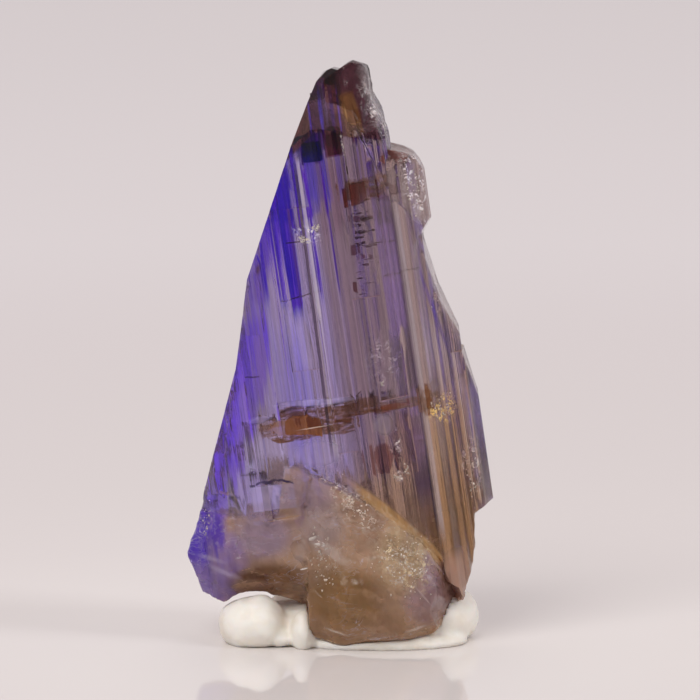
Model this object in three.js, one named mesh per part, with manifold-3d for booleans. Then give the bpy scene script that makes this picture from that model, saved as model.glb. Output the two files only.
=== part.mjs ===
// A rough tanzanite crystal standing on a pad of white modelling putty.
//
// Millimetres, +Z up. The origin is on the surface that the pad stands on, under the middle of the whole.
// The crystal is one piece: a striated, wedge-shaped blade with thinner laths grown along its right side,
// a chisel tip with two lobes, and a broken, shelly root that is pressed into the putty.
//
// The blade and the laths are drawn standing upright in the crystal's own frame: "across" runs to the right,
// "deep" runs away from the front face, "up" runs along the striations. They then lean as one, and the root is
// broken off in the world's frame.
import * as THREE from "three";
import { ImprovedNoise } from "three/addons/math/ImprovedNoise.js";
import { mergeVertices } from "three/addons/utils/BufferGeometryUtils.js";
import Module from "manifold-3d";

const { degToRad, radToDeg, lerp, smoothstep } = THREE.MathUtils;

// ---- Driving dimensions ----
const LENGTH = 20.9; // along the striations, from the root to the tip
const WIDTH = 11.5; // across the blade and its laths
const DEPTH = 6; // from the front face to the back face
const LEAN = degToRad(8.2); // how far the striations lean to the left of upright
const STRIA_DEPTH = 0.09; // of the deepest step between two striations
const STRIA_WIDTH = [0.13, 0.42]; // of the narrowest and the widest striation
const RISER = 0.03; // half the width of the slanting step between two striations
const FLANK_MARGIN = 0.47; // the crystal's axis lies this share of WIDTH in from the left
const LOWEST = 0.27; // height of the crystal's lowest point above the ground
const SEAT_GAP = 0.2; // between the crystal and the putty that cups it
const ROOT_CELL = 0.34; // size of a facet on the crystal's broken surfaces
const SEAT_CELL = 0.5; // size of a facet on the putty's seat
const ROOT_SPAN = [-7.5, 7]; // from left to right, what the broken surfaces cover
const BOSS_X = [-1.2, 4.1]; // from left to right, where the root stands proud of the front face
const BOSS_PROUD = 0.22; // how far it does so along its upper edge
const REACH = 60; // size of the blocks that cut things off, well past the crystal

const wasm = await Module();
wasm.setup();
const noise = new ImprovedNoise();

// ---- Places in the crystal's own frame, as shares of its width, depth and length ----
const across = (share) => (share - FLANK_MARGIN) * WIDTH;
const deep = (share) => (share - 0.5) * DEPTH;
const up = (share) => share * LENGTH;
const place = (x, y, z) => new THREE.Vector3(across(x), deep(y), up(z));

/** A closed three.js geometry as a solid that can be joined and cut. */
function solidOf(geometry) {
  const bare = geometry.clone();
  bare.deleteAttribute("normal");
  bare.deleteAttribute("uv");
  const merged = mergeVertices(bare, 1e-5);
  return new wasm.Manifold(
    new wasm.Mesh({
      numProp: 3,
      vertProperties: new Float32Array(merged.attributes.position.array),
      triVerts: new Uint32Array(merged.index.array),
    }),
  );
}

/** A solid as a three.js geometry. */
function geometryOf(solid) {
  const mesh = solid.getMesh();
  const geometry = new THREE.BufferGeometry()
    .setAttribute("position", new THREE.BufferAttribute(mesh.vertProperties, 3))
    .setIndex(new THREE.BufferAttribute(mesh.triVerts, 1));
  geometry.computeVertexNormals();
  return geometry;
}

/** The largest of a solid's separate bodies: what is left once the crumbs have fallen off. */
function largestOf(solid) {
  return solid.decompose().sort((a, b) => b.volume() - a.volume())[0];
}

/** A block that fills all that lies beyond a plane, which goes through a point and faces along a direction. */
function beyond(point, direction) {
  const block = new THREE.BoxGeometry(REACH, REACH, REACH);
  const facing = new THREE.Vector3(...direction).normalize();
  block.translate(0, 0, REACH / 2);
  block.applyQuaternion(new THREE.Quaternion().setFromUnitVectors(new THREE.Vector3(0, 0, 1), facing));
  block.translate(point.x, point.y, point.z);
  return solidOf(block);
}

// ---- The striated columns ----

/** Random numbers that are the same on every run, for one seed. */
function randomOf(seed) {
  THREE.MathUtils.seededRandom(seed);
  return (low, high) => low + (high - low) * THREE.MathUtils.seededRandom();
}

/**
 * An outline with striations: each side is broken into flat stripes that lie at slightly different depths,
 * with a narrow slanting riser between two stripes. Corners are in shares, and run anticlockwise from above.
 */
function striated(corners, seed) {
  const random = randomOf(seed);
  const shape = new THREE.Shape();
  const points = corners.map(([x, y]) => new THREE.Vector2(across(x), deep(y)));
  points.forEach((from, side) => {
    const to = points[(side + 1) % points.length];
    const along = to.clone().sub(from);
    const length = along.length();
    along.normalize();
    const inward = new THREE.Vector2(-along.y, along.x);
    const add = (s, depth) => {
      const p = from.clone().addScaledVector(along, s).addScaledVector(inward, depth);
      if (side === 0 && s === 0) shape.moveTo(p.x, p.y);
      else shape.lineTo(p.x, p.y);
    };
    add(0, 0);
    let s = STRIA_WIDTH[0];
    while (s < length - 2 * STRIA_WIDTH[0]) {
      const end = Math.min(s + random(...STRIA_WIDTH), length - STRIA_WIDTH[0]);
      const depth = STRIA_DEPTH * random(0, 1) ** 2;
      add(s + RISER, depth);
      add(end - RISER, depth);
      s = end;
    }
  });
  return shape;
}

/** A striated column that stands from one height to another, cut by planes: each a point and a direction. */
function column({ outline, from, to, cuts = [], seed }) {
  const bar = new THREE.ExtrudeGeometry(striated(outline, seed), {
    depth: up(to) - up(from),
    bevelEnabled: false,
  });
  bar.translate(0, 0, up(from));
  return cuts.reduce((solid, [point, direction]) => solid.subtract(beyond(point, direction)), solidOf(bar));
}

// The broad blade, anticlockwise from its thin left edge along the front.
const BLADE = {
  outline: [
    [0.02, 0.42],
    [0.16, 0.21],
    [0.37, 0.08],
    [0.545, 0.0],
    [0.73, 0.025],
    [0.82, 0.11],
    [0.848, 0.4],
    [0.84, 0.7],
    [0.665, 0.9],
    [0.405, 0.93],
    [0.16, 0.8],
    [0.03, 0.62],
  ],
  from: -0.06,
  to: 1.0,
  seed: 11,
  cuts: [
    // the long left flank
    [place(0.394, 0.1, 0.711), [-0.889, 0.1, 0.446]],
    [place(0.256, 0.2, 0.476), [-0.949, 0.14, 0.279]],
    // the chisel: two facets lean back from the front face, two fall away behind
    [place(0.687, 0.02, 0.889), [0.25, -0.62, 0.76]],
    [place(0.578, 0.0, 0.888), [-0.42, -0.58, 0.7]],
    [place(0.7, 0.58, 0.992), [-0.12, 0.66, 0.74]],
    [place(0.7, 0.84, 0.92), [0.1, 0.88, 0.46]],
    // the rounded top of the left lobe, and its right side
    [place(0.655, 0.46, 0.972), [-0.6, 0.05, 0.8]],
    [place(0.683, 0.46, 0.982), [-0.27, 0.1, 0.96]],
    [place(0.707, 0.46, 0.981), [0.4, 0.05, 0.91]],
    [place(0.719, 0.4, 0.986), [0.95, -0.1, 0.27]],
  ],
};

// The laths beside and behind the blade, from the knob at the tip to the thin slab low on the right.
const LATHS = [
  {
    // the lath along the foot of the left flank
    outline: [
      [0.0, 0.42],
      [0.15, 0.24],
      [0.3, 0.15],
      [0.3, 0.8],
      [0.13, 0.76],
      [0.01, 0.6],
    ],
    from: -0.06,
    to: 0.5,
    seed: 17,
    cuts: [[place(0.051, 0.3, 0.217), [-0.909, 0.13, 0.394]]],
  },
  {
    // a low lath on the back face
    outline: [
      [0.27, 0.8],
      [0.6, 0.8],
      [0.64, 0.9],
      [0.56, 0.99],
      [0.34, 1.0],
      [0.28, 0.93],
    ],
    from: -0.06,
    to: 0.46,
    seed: 19,
    cuts: [
      [place(0.45, 0.95, 0.395), [-0.16, 0.35, 0.92]],
      [place(0.3, 0.95, 0.34), [-0.93, 0.1, 0.36]],
    ],
  },
  {
    // the main lath behind the right half of the front face
    outline: [
      [0.6, 0.06],
      [0.73, 0.05],
      [0.82, 0.13],
      [0.844, 0.4],
      [0.835, 0.68],
      [0.65, 0.88],
    ],
    from: -0.06,
    to: 0.95,
    seed: 23,
    cuts: [
      [place(0.72, 0.05, 0.872), [0.2, -0.6, 0.77]],
      [place(0.814, 0.5, 0.916), [0.92, -0.05, 0.38]],
      [place(0.7, 0.78, 0.9), [0.1, 0.75, 0.66]],
    ],
  },
  {
    // the knob, which is the right lobe of the tip
    outline: [
      [0.665, 0.2],
      [0.77, 0.17],
      [0.806, 0.3],
      [0.812, 0.6],
      [0.76, 0.72],
      [0.66, 0.7],
    ],
    from: 0.7,
    to: 1.0,
    seed: 31,
    cuts: [
      [place(0.749, 0.45, 0.99), [-0.46, 0.1, 0.88]],
      [place(0.771, 0.45, 0.991), [0.42, 0.1, 0.9]],
      [place(0.801, 0.45, 0.977), [0.86, -0.1, 0.5]],
      [place(0.812, 0.45, 0.94), [0.985, -0.1, 0.12]],
      [place(0.74, 0.2, 0.925), [0.15, -0.75, 0.64]],
      [place(0.74, 0.66, 0.965), [0.05, 0.8, 0.6]],
    ],
  },
  {
    // the shoulder, with a slanting top
    outline: [
      [0.78, 0.16],
      [0.88, 0.2],
      [0.93, 0.33],
      [0.936, 0.62],
      [0.885, 0.76],
      [0.78, 0.8],
    ],
    from: 0.665,
    to: 0.845,
    seed: 43,
    cuts: [
      [place(0.858, 0.6, 0.8328), [0.336, 0, 0.942]],
      [place(0.898, 0.6, 0.822), [0.6, 0, 0.8]],
      [place(0.9185, 0.6, 0.81), [0.855, 0, 0.518]],
      [place(0.93, 0.6, 0.795), [0.962, 0, 0.275]],
      [place(0.82, 0.22, 0.818), [-0.1, -0.7, 0.71]],
      [place(0.87, 0.7, 0.815), [0.1, 0.7, 0.7]],
      [place(0.9345, 0.5, 0.7035), [0.8, -0.1, -0.59]],
    ],
  },
  {
    // the lath under the shoulder
    outline: [
      [0.76, 0.13],
      [0.86, 0.17],
      [0.9, 0.3],
      [0.904, 0.65],
      [0.87, 0.8],
      [0.76, 0.86],
    ],
    from: -0.06,
    to: 0.75,
    seed: 47,
    cuts: [[place(0.9, 0.5, 0.72), [0.8, -0.1, 0.59]]],
  },
  {
    // two long laths whose tops slant down to the right
    outline: [
      [0.83, 0.22],
      [0.9, 0.27],
      [0.928, 0.4],
      [0.929, 0.66],
      [0.89, 0.78],
      [0.83, 0.82],
    ],
    from: -0.06,
    to: 0.665,
    seed: 53,
    cuts: [
      [place(0.901, 0.5, 0.654), [0.98, -0.04, 0.18]],
      [place(0.935, 0.5, 0.134), [0.985, 0.1, -0.17]],
    ],
  },
  {
    outline: [
      [0.86, 0.28],
      [0.935, 0.33],
      [0.972, 0.44],
      [0.972, 0.6],
      [0.935, 0.7],
      [0.86, 0.74],
    ],
    from: -0.06,
    to: 0.6,
    seed: 59,
    cuts: [
      [place(0.929, 0.5, 0.569), [0.943, -0.06, 0.33]],
      [place(0.935, 0.5, 0.193), [0.985, 0.1, -0.2]],
    ],
  },
  {
    // the thin slab, broken off short of the foot
    outline: [
      [0.91, 0.33],
      [0.976, 0.36],
      [1.003, 0.44],
      [1.003, 0.55],
      [0.971, 0.64],
      [0.91, 0.67],
    ],
    from: 0.16,
    to: 0.47,
    seed: 61,
    cuts: [
      [place(0.979, 0.5, 0.46), [0.98, -0.06, 0.18]],
      [place(0.997, 0.5, 0.201), [0.49, -0.1, -0.87]],
    ],
  },
];

// The profile of a growth step is drawn deep by up, and is drawn out across the face.
const STEP_FRAME = new THREE.Matrix4().makeBasis(
  new THREE.Vector3(0, 1, 0),
  new THREE.Vector3(0, 0, 1),
  new THREE.Vector3(1, 0, 0),
);

// Growth steps in the front face: each is a wedge from one place to another across, whose floor starts at its
// full depth at the step's height and runs out to the face again a length above it, or below it if negative.
const STEPS = [
  { across: [0.31, 0.49], at: 0.238, length: 0.1, depth: 0.32 },
  { across: [0.44, 0.54], at: 0.49, length: 0.17, depth: 0.14 },
  { across: [0.25, 0.36], at: 0.56, length: -0.14, depth: 0.1 },
  { across: [0.55, 0.61], at: 0.34, length: 0.24, depth: 0.12 },
  { across: [0.69, 0.8], at: 0.42, length: 0.13, depth: 0.16 },
  { across: [0.66, 0.75], at: 0.6, length: 0.2, depth: 0.18 },
  { across: [0.7, 0.79], at: 0.4, length: -0.12, depth: 0.2 },
  { across: [0.38, 0.46], at: 0.44, length: -0.12, depth: 0.16 },
  { across: [0.47, 0.58], at: 0.77, length: 0.1, depth: 0.1 },
];

/** The wedge that cuts one growth step into the blade's front face. */
function stepCutter({ across: [left, right], at, length, depth }) {
  const middle = (left + right) / 2;
  const corners = BLADE.outline;
  const next = corners.findIndex(([x]) => x > middle);
  const [x0, y0] = corners[next - 1];
  const [x1, y1] = corners[next];
  const facing = Math.atan2(deep(y1) - deep(y0), across(x1) - across(x0));
  const face = deep(y0 + ((y1 - y0) * (middle - x0)) / (x1 - x0));
  const profile = new THREE.Shape([
    new THREE.Vector2(depth, 0),
    new THREE.Vector2(0, up(length)),
    new THREE.Vector2(-1, up(length)),
    new THREE.Vector2(-1, 0),
  ]);
  const width = across(right) - across(left);
  const wedge = new THREE.ExtrudeGeometry(profile, { depth: width, bevelEnabled: false });
  wedge.translate(0, 0, -width / 2);
  wedge.applyMatrix4(STEP_FRAME);
  wedge.rotateZ(facing);
  wedge.translate(across(middle), face, up(at));
  return solidOf(wedge);
}

// ---- The broken root, in the world's frame ----

/** Straight-line interpolation along an outline of [place, height] points. */
function along(outline, x) {
  const next = outline.findIndex(([at]) => at > x);
  if (next === 0) return outline[0][1];
  if (next < 0) return outline[outline.length - 1][1];
  const [x0, y0] = outline[next - 1];
  const [x1, y1] = outline[next];
  return y0 + ((y1 - y0) * (x - x0)) / (x1 - x0);
}

/** A round swelling of height 1 at its middle, which dies out at its radius. */
function swelling(x, y, [cx, cy], radius) {
  const share = Math.min(1, Math.hypot(x - cx, y - cy) / radius);
  return (1 - share * share) ** 2;
}

/** Shelly unevenness: broad swells with finer ones on them, about 1 high. */
function shelly(x, y, seed) {
  const swell = noise.noise(x * 0.55, y * 0.55, seed);
  const ripple = Math.abs(noise.noise(x * 1.5, y * 1.1, seed + 5));
  return swell * 1.1 - ripple * 0.9 + noise.noise(x * 2.6, y * 2.6, seed + 9) * 0.35;
}

/**
 * A cutter whose lower face is a broken surface. It covers a rectangle of x and y, and fills what lies above
 * height(x, y), in a frame that the caller turns and places.
 */
function breakage({ x: [x0, x1], y: [y0, y1], cell, height }) {
  const columns = Math.round((x1 - x0) / cell);
  const rows = Math.round((y1 - y0) / cell);
  const slab = new THREE.BoxGeometry(x1 - x0, y1 - y0, 1, columns, rows, 1);
  slab.translate((x0 + x1) / 2, (y0 + y1) / 2, 0);
  const position = slab.attributes.position;
  for (let i = 0; i < position.count; i++) {
    const x = position.getX(i);
    const y = position.getY(i);
    if (position.getZ(i) > 0) {
      position.setZ(i, REACH / 2);
      continue;
    }
    const edge = Math.min(x - x0, x1 - x, y - y0, y1 - y) < cell / 2;
    const nudge = edge ? 0 : cell * 0.7;
    const nudged = [x + nudge * (0.5 - hash(x, y)), y + nudge * (0.5 - hash(y, x))];
    position.setXYZ(i, ...nudged, height(...nudged));
  }
  return slab;
}

/** A number from 0 to 1 that belongs to a point. */
function hash(x, y) {
  const value = Math.sin(x * 127.1 + y * 311.7) * 43758.5453;
  return value - Math.floor(value);
}

// The underside seen from the front: the foot on the left, the step, the belly and the right corner.
const UNDERSIDE = [
  [-6.2, 4.4],
  [-5.6, 3.0],
  [-5.3, 2.1],
  [-5.14, 1.55],
  [-4.95, 1.38],
  [-4.6, 1.34],
  [-4.0, 1.38],
  [-3.6, 1.62],
  [-2.9, 1.62],
  [-2.3, 1.4],
  [-1.4, 0.95],
  [-1.15, 0.48],
  [-0.4, 0.36],
  [0.9, 0.27],
  [2.2, 0.36],
  [3.2, 0.5],
  [3.75, 0.82],
  [4.15, 1.2],
  [4.45, 1.8],
  [4.8, 3.1],
  [4.95, 4.2],
  [5.4, 4.6],
];

// Where the front face ends and the broken surface begins, seen from the front.
const FRONT_BREAK = [
  [-5.6, 6.0],
  [-4.9, 5.5],
  [-4.07, 5.75],
  [-3.35, 4.95],
  [-1.58, 4.95],
  [-1.45, 6.2],
  [-1.1, 6.65],
  [-0.4, 6.25],
  [0.54, 5.6],
  [1.22, 5.2],
  [2.25, 4.45],
  [3.2, 3.75],
  [3.64, 2.9],
  [3.88, 2.3],
  [4.07, 0.9],
];

// The front face before it broke: how deep it lies, from left to right.
const FRONT_FACE = [
  [-6.4, -0.3],
  [-4.3, -1.75],
  [-1.9, -2.5],
  [0.05, -3.0],
  [2.2, -2.85],
  [3.4, -2.35],
  [4.1, -0.6],
];

/** How deep the broken front of the foot lies, which is under the left half of the front face. */
function brokenFront(x, z) {
  const below = along(FRONT_BREAK, x) - z;
  if (below < 0) return along(FRONT_FACE, x) + 1.6 * below - 0.02;
  const hollow = 0.55 * (1 - Math.exp(-below / 0.7));
  const swell = 0.45 * swelling(x, z, [-4.2, 3.0], 1.8);
  const recess = 0.3 * swelling(x, z, [-2.2, 1.9], 1.3) + 0.5 * swelling(x, z, [-1.4, 1.4], 1.1);
  const undercut = 1.1 * Math.max(0, 2.3 - z) * smoothstep(x, -4.2, -3.6);
  return along(FRONT_FACE, x) + hollow - swell + recess + undercut + 0.2 * shelly(x, z, 3);
}

/** How deep the front of the boss lies, which is the lump that stands proud under the right half. */
function bossFront(x, z) {
  const below = along(FRONT_BREAK, x) - z;
  const face = along(FRONT_FACE, x);
  const merged = smoothstep(z, 1.9, 3.4) * (1 - smoothstep(x, BOSS_X[0], 0.7));
  const proud = BOSS_PROUD * (1 - merged);
  if (below < 0) return face - proud - 1.6 * below;
  const belly = 0.5 * swelling(x, z, [1.4, 2.1], 2.9);
  const hollow = 0.25 * swelling(x, z, [-0.2, 3.9], 1.3);
  const undercut = 0.4 * Math.max(0, 1.4 - z) ** 2 + 0.8 * Math.max(0, x - 3.5);
  const own = face - proud - belly + hollow + undercut + 0.17 * shelly(x, z, 7);
  return lerp(own, brokenFront(x, z), merged);
}

/** How deep the broken back lies: a scoop that starts on a slanting line and bites deeper towards the foot. */
function brokenBack(x, z) {
  const below = 5.6 - 0.45 * x - z;
  if (below < 0) return DEPTH / 2 + 1.2 - 1.2 * below;
  const scoop = 0.7 * swelling(x, z, [-1.6, 3.4], 2.6) + 0.5 * swelling(x, z, [2.8, 2.2], 2.2);
  return DEPTH / 2 + 1.2 * Math.exp(-below / 0.4) - 0.25 - 0.2 * below - scoop + 0.22 * shelly(x, z, 17);
}

/** How high the underside lies. */
function brokenUnderside(x, y) {
  const rise = 0.035 * (y + DEPTH / 2) ** 2;
  return Math.max(LOWEST, along(UNDERSIDE, x) + rise + 0.1 * shelly(x, y, 29));
}

/** What lies in front of a broken surface that is seen from the front, as a cutter. */
function inFrontOf(surface, margin, cell) {
  const slab = breakage({ x: ROOT_SPAN, y: [-1, 9.5], cell, height: (x, z) => margin - surface(x, z) });
  return solidOf(slab.rotateX(Math.PI / 2));
}

/** What lies behind the root and what lies under it, as cutters, which are pushed outwards by a margin. */
function backAndUnder(margin, cell) {
  const back = breakage({
    x: ROOT_SPAN,
    y: [-9.5, 1],
    cell,
    height: (x, z) => margin + brokenBack(x, -z),
  });
  const under = breakage({
    x: ROOT_SPAN,
    y: [-5, 5],
    cell,
    height: (x, y) => margin - brokenUnderside(x, -y),
  });
  return [back.rotateX(-Math.PI / 2), under.rotateX(Math.PI)].map(solidOf);
}

/** The grown columns with a broken root: the foot on the left, and the boss that stands proud on the right. */
function rooted(columns, margin, cell) {
  const block = new THREE.BoxGeometry(BOSS_X[1] - BOSS_X[0] + 2 * margin, DEPTH, 9);
  block.translate((BOSS_X[0] + BOSS_X[1]) / 2, -DEPTH / 2, 3.5);
  const boss = solidOf(block).subtract(inFrontOf(bossFront, margin, cell));
  const foot = columns.subtract(inFrontOf(brokenFront, margin, cell));
  return backAndUnder(margin, cell).reduce((solid, cutter) => solid.subtract(cutter), foot.add(boss));
}

// ---- The crystal ----

const stepped = STEPS.reduce((solid, step) => solid.subtract(stepCutter(step)), column(BLADE));
const grown = LATHS.reduce((solid, lath) => solid.add(column(lath)), stepped);
const leaning = grown.rotate([0, -radToDeg(LEAN), 0]);
const crystal = largestOf(rooted(leaning, 0, ROOT_CELL));

// ---- The putty ----

// Each lump is an ellipsoid: its middle and its half sizes.
const LUMPS = [
  { middle: [0.3, 0.1, 0.35], half: [4.7, 2.95, 1.25] },
  { middle: [-2.95, -0.9, 0.75], half: [1.5, 1.75, 1.2] },
  { middle: [3.55, 0.2, 0.75], half: [1.35, 1.9, 1.0] },
  { middle: [-1.0, -2.05, 0.55], half: [0.55, 0.85, 0.85] },
  { middle: [0.4, 2.1, 0.6], half: [3.2, 1.1, 1.15] },
];

/** One lump of putty: an ellipsoid with thumbed hollows. */
function lump({ middle, half }) {
  const ball = new THREE.SphereGeometry(1, 24, 14);
  const position = ball.attributes.position;
  for (let i = 0; i < position.count; i++) {
    const p = new THREE.Vector3().fromBufferAttribute(position, i);
    const knead = 1 + 0.07 * noise.noise(p.x * 1.7 + middle[0], p.y * 1.7 + middle[1], p.z * 1.7);
    position.setXYZ(i, p.x * half[0] * knead, p.y * half[1] * knead, p.z * half[2] * knead);
  }
  ball.translate(...middle);
  return solidOf(ball);
}

/** The pad: the lumps pressed together, flat underneath, with the crystal's root pressed into them. */
function puttyPad() {
  const lumps = LUMPS.map(lump).reduce((all, one) => all.add(one));
  const flat = lumps.subtract(beyond(new THREE.Vector3(0, 0, 0), [0, 0, -1]));
  const wider = [-SEAT_GAP, SEAT_GAP].reduce((all, x) => all.add(leaning.translate([x, 0, 0])), leaning);
  return largestOf(flat.subtract(rooted(wider, SEAT_GAP, SEAT_CELL)));
}

// ---- The finished pieces ----

const tanzanite = new THREE.MeshStandardMaterial({ color: 0x6b55a8, roughness: 0.12, metalness: 0 });
const putty = new THREE.MeshStandardMaterial({ color: 0xf2e9dc, roughness: 0.75, metalness: 0 });

const solids = [
  ["crystal", crystal, tanzanite],
  ["putty_pad", puttyPad(), putty],
];

const group = new THREE.Group();
for (const [name, solid, material] of solids) {
  const mesh = new THREE.Mesh(geometryOf(solid), material);
  mesh.name = name;
  group.add(mesh);
}

// The origin comes under the middle of the whole.
const bounds = new THREE.Box3().setFromObject(group, true);
const middle = bounds.getCenter(new THREE.Vector3());
group.position.set(-middle.x, -middle.y, -bounds.min.z);
group.updateMatrixWorld(true);

export default group;
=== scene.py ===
"""A rough tanzanite crystal standing in white modelling putty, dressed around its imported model.

The crystal is one clear, leaning, striated blade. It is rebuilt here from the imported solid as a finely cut
mesh: fine growth lines run along it, and its broken root is shelly and crumbly. Inside lie iron-stained
films, hair cracks, veils and tiny cavities. The putty is one kneaded lump.

Lengths are in millimetres up to the point where a mesh or a light is made, which is in metres.
"""

import logging
import math
import random
from dataclasses import dataclass, field
from enum import Enum

import bmesh
import bpy
import numpy as np
from mathutils import Matrix, Vector, noise
from mathutils.bvhtree import BVHTree

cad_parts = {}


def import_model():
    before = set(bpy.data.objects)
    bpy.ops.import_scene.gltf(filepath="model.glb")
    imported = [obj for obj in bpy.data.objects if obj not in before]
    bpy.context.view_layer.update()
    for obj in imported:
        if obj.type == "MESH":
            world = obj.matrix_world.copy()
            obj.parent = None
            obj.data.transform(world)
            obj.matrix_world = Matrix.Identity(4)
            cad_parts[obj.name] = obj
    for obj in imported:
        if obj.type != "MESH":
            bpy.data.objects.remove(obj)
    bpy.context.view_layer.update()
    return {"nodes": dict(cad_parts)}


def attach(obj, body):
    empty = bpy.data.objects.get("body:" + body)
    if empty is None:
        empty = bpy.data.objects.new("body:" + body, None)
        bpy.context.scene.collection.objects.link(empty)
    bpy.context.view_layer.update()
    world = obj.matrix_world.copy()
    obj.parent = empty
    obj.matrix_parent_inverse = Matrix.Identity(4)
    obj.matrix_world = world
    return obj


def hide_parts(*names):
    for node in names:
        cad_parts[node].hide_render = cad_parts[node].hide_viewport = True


LOG = logging.getLogger("tanzanite")
MM = 0.001
MERGE = 1e-8
SOFT = {"interpolation_type": "SMOOTHSTEP"}
RGBA = {"data_type": "RGBA"}

Triple = tuple[float, float, float]
Tree = bpy.types.NodeTree
Thing = bpy.types.Object
Finish = bpy.types.Material
Source = bpy.types.Node | bpy.types.NodeSocket
Value = Source | float | tuple
Draft = bmesh.types.BMesh


# -----------------------------------------------------------------------------------------------------------
# Colour, nodes and places
# -----------------------------------------------------------------------------------------------------------


def linear(colour: str) -> tuple[float, float, float, float]:
    """Turns an sRGB hex colour into the linear colour that Blender's sockets take.

    Args:
        colour: six hex digits, such as "f2e9dc".

    Returns:
        Red, green, blue and an alpha of 1.
    """
    shares = [int(colour[i : i + 2], 16) / 255 for i in (0, 2, 4)]
    r, g, b = (s / 12.92 if s <= 0.04045 else ((s + 0.055) / 1.055) ** 2.4 for s in shares)
    return r, g, b, 1.0


def add(tree: Tree, kind: str, settings: dict | str | None = None, **links: Value) -> bpy.types.Node:
    """Adds a node to a tree, with its settings and its sockets.

    Args:
        tree: the node tree.
        kind: the node's type name, without "ShaderNode".
        settings: the node's own properties by name, or only its operation.
        links: for each input, its name with "_" for a space, or "i" and its number, and then a value, an
            output, or a node, which stands for the first of its outputs in use.

    Returns:
        The new node.
    """
    node = tree.nodes.new("ShaderNode" + kind)
    for name, value in ({"operation": settings} if isinstance(settings, str) else settings or {}).items():
        setattr(node, name, value)
    for name, value in links.items():
        socket = node.inputs[int(name[1:])] if name[1:].isdigit() else node.inputs[name.replace("_", " ")]
        if isinstance(value, bpy.types.Node):
            value = next(output for output in value.outputs if output.enabled)
        if isinstance(value, bpy.types.NodeSocket):
            tree.links.new(value, socket)
        else:
            socket.default_value = value
    return node


def material(name: str) -> tuple[Finish, Tree]:
    """Makes an empty material, and gives it with its node tree.

    Args:
        name: the material's name.

    Returns:
        The material and its node tree.
    """
    made = bpy.data.materials.new(name)
    made.use_nodes = True
    made.node_tree.nodes.clear()
    return made, made.node_tree


def mesh_data(name: str, draft: Draft) -> bpy.types.Mesh:
    """Turns a draft into a mesh, and frees the draft.

    Args:
        name: the mesh's name.
        draft: the draft, which is freed.

    Returns:
        The mesh.
    """
    data = bpy.data.meshes.new(name)
    draft.to_mesh(data)
    draft.free()
    return data


def placed(name: str, data: bpy.types.ID | None) -> Thing:
    """Puts an object into the scene.

    Args:
        name: the object's name.
        data: its mesh, light or camera.

    Returns:
        The object.
    """
    made = bpy.data.objects.new(name, data)
    bpy.context.scene.collection.objects.link(made)
    return made


def piece(name: str, data: bpy.types.Mesh, finish: Finish, node: str = "") -> Thing:
    """Makes a piece that rides on the object's body.

    Args:
        name: the piece's name.
        data: its mesh.
        finish: its material.
        node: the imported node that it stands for, if any.

    Returns:
        The piece.
    """
    data.materials.append(finish)
    made = placed(name, data)
    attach(made, "root")
    if node:
        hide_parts(node)
    LOG.info("%s: %d faces", name, len(data.polygons))
    return made


def soften(mesh: Draft, verts: list, times: int) -> None:
    """Smooths some of a draft's vertices, so many times over.

    Args:
        mesh: the draft.
        verts: the vertices that move.
        times: how many times over.
    """
    axes = {f"use_axis_{axis}": True for axis in "xyz"}
    for _ in range(times):
        bmesh.ops.smooth_vert(mesh, verts=verts, factor=0.5, **axes)


def surface_of(crystal: Thing) -> BVHTree:
    """The crystal's surface, for rays to meet."""
    data = crystal.data
    return BVHTree.FromPolygons([v.co for v in data.vertices], [p.vertices for p in data.polygons])


@dataclass(frozen=True)
class Axes:
    """The crystal's own axes: across to the right, deep to the back and up along the growth lines."""

    lean: float = math.radians(8.2)
    foot: Triple = (0.0326, 0.256, 0.0)

    def world(self, own: Triple | Vector) -> Vector:
        """The point in metres, in the row's frame, of a place in the crystal's own axes.

        Args:
            own: the place, across, deep and up.

        Returns:
            The point.
        """
        u, v, w = own
        c, s = math.cos(self.lean), math.sin(self.lean)
        return Vector((u * c - w * s + self.foot[0], v + self.foot[1], u * s + w * c + self.foot[2])) * MM

    def turned(self, way: Triple | Vector) -> Vector:
        """A direction, turned from the row's frame to the crystal's own axes.

        Args:
            way: the direction in the row's frame.

        Returns:
            The direction in the crystal's own axes.
        """
        x, y, z = way
        c, s = math.cos(self.lean), math.sin(self.lean)
        return Vector((x * c + z * s, y, z * c - x * s))

    def own(self, point: Triple | Vector) -> Vector:
        """The place in the crystal's own axes of a point in metres."""
        return self.turned(tuple(p / MM - f for p, f in zip(point, self.foot)))

    def node(self, tree: Tree) -> Source:
        """Adds the nodes that give a surface point's place in the crystal's own axes, in millimetres.

        Args:
            tree: the material's node tree.

        Returns:
            The place.
        """
        place = add(tree, "TexCoord").outputs["Object"]
        shape = {"Location": self.own((0, 0, 0)), "Rotation": (0, self.lean, 0), "Scale": (1 / MM,) * 3}
        return add(tree, "Mapping", {"vector_type": "POINT"}, Vector=place, **shape)


AXES = Axes()
BREAK_LINE = ((-5.6, 6.3), (-4.9, 5.8), (-3.35, 5.25), (-1.58, 5.25), (-1.1, 6.9), (-0.4, 6.7))
BREAK_LINE += ((1.22, 5.6), (2.85, 4.25), (3.65, 3.2), (4.1, 1.2))


def smooth(value: float, low: float, high: float) -> float:
    """A soft step from 0 at low to 1 at high."""
    share = min(1.0, max(0.0, (value - low) / (high - low)))
    return share * share * (3 - 2 * share)


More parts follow.
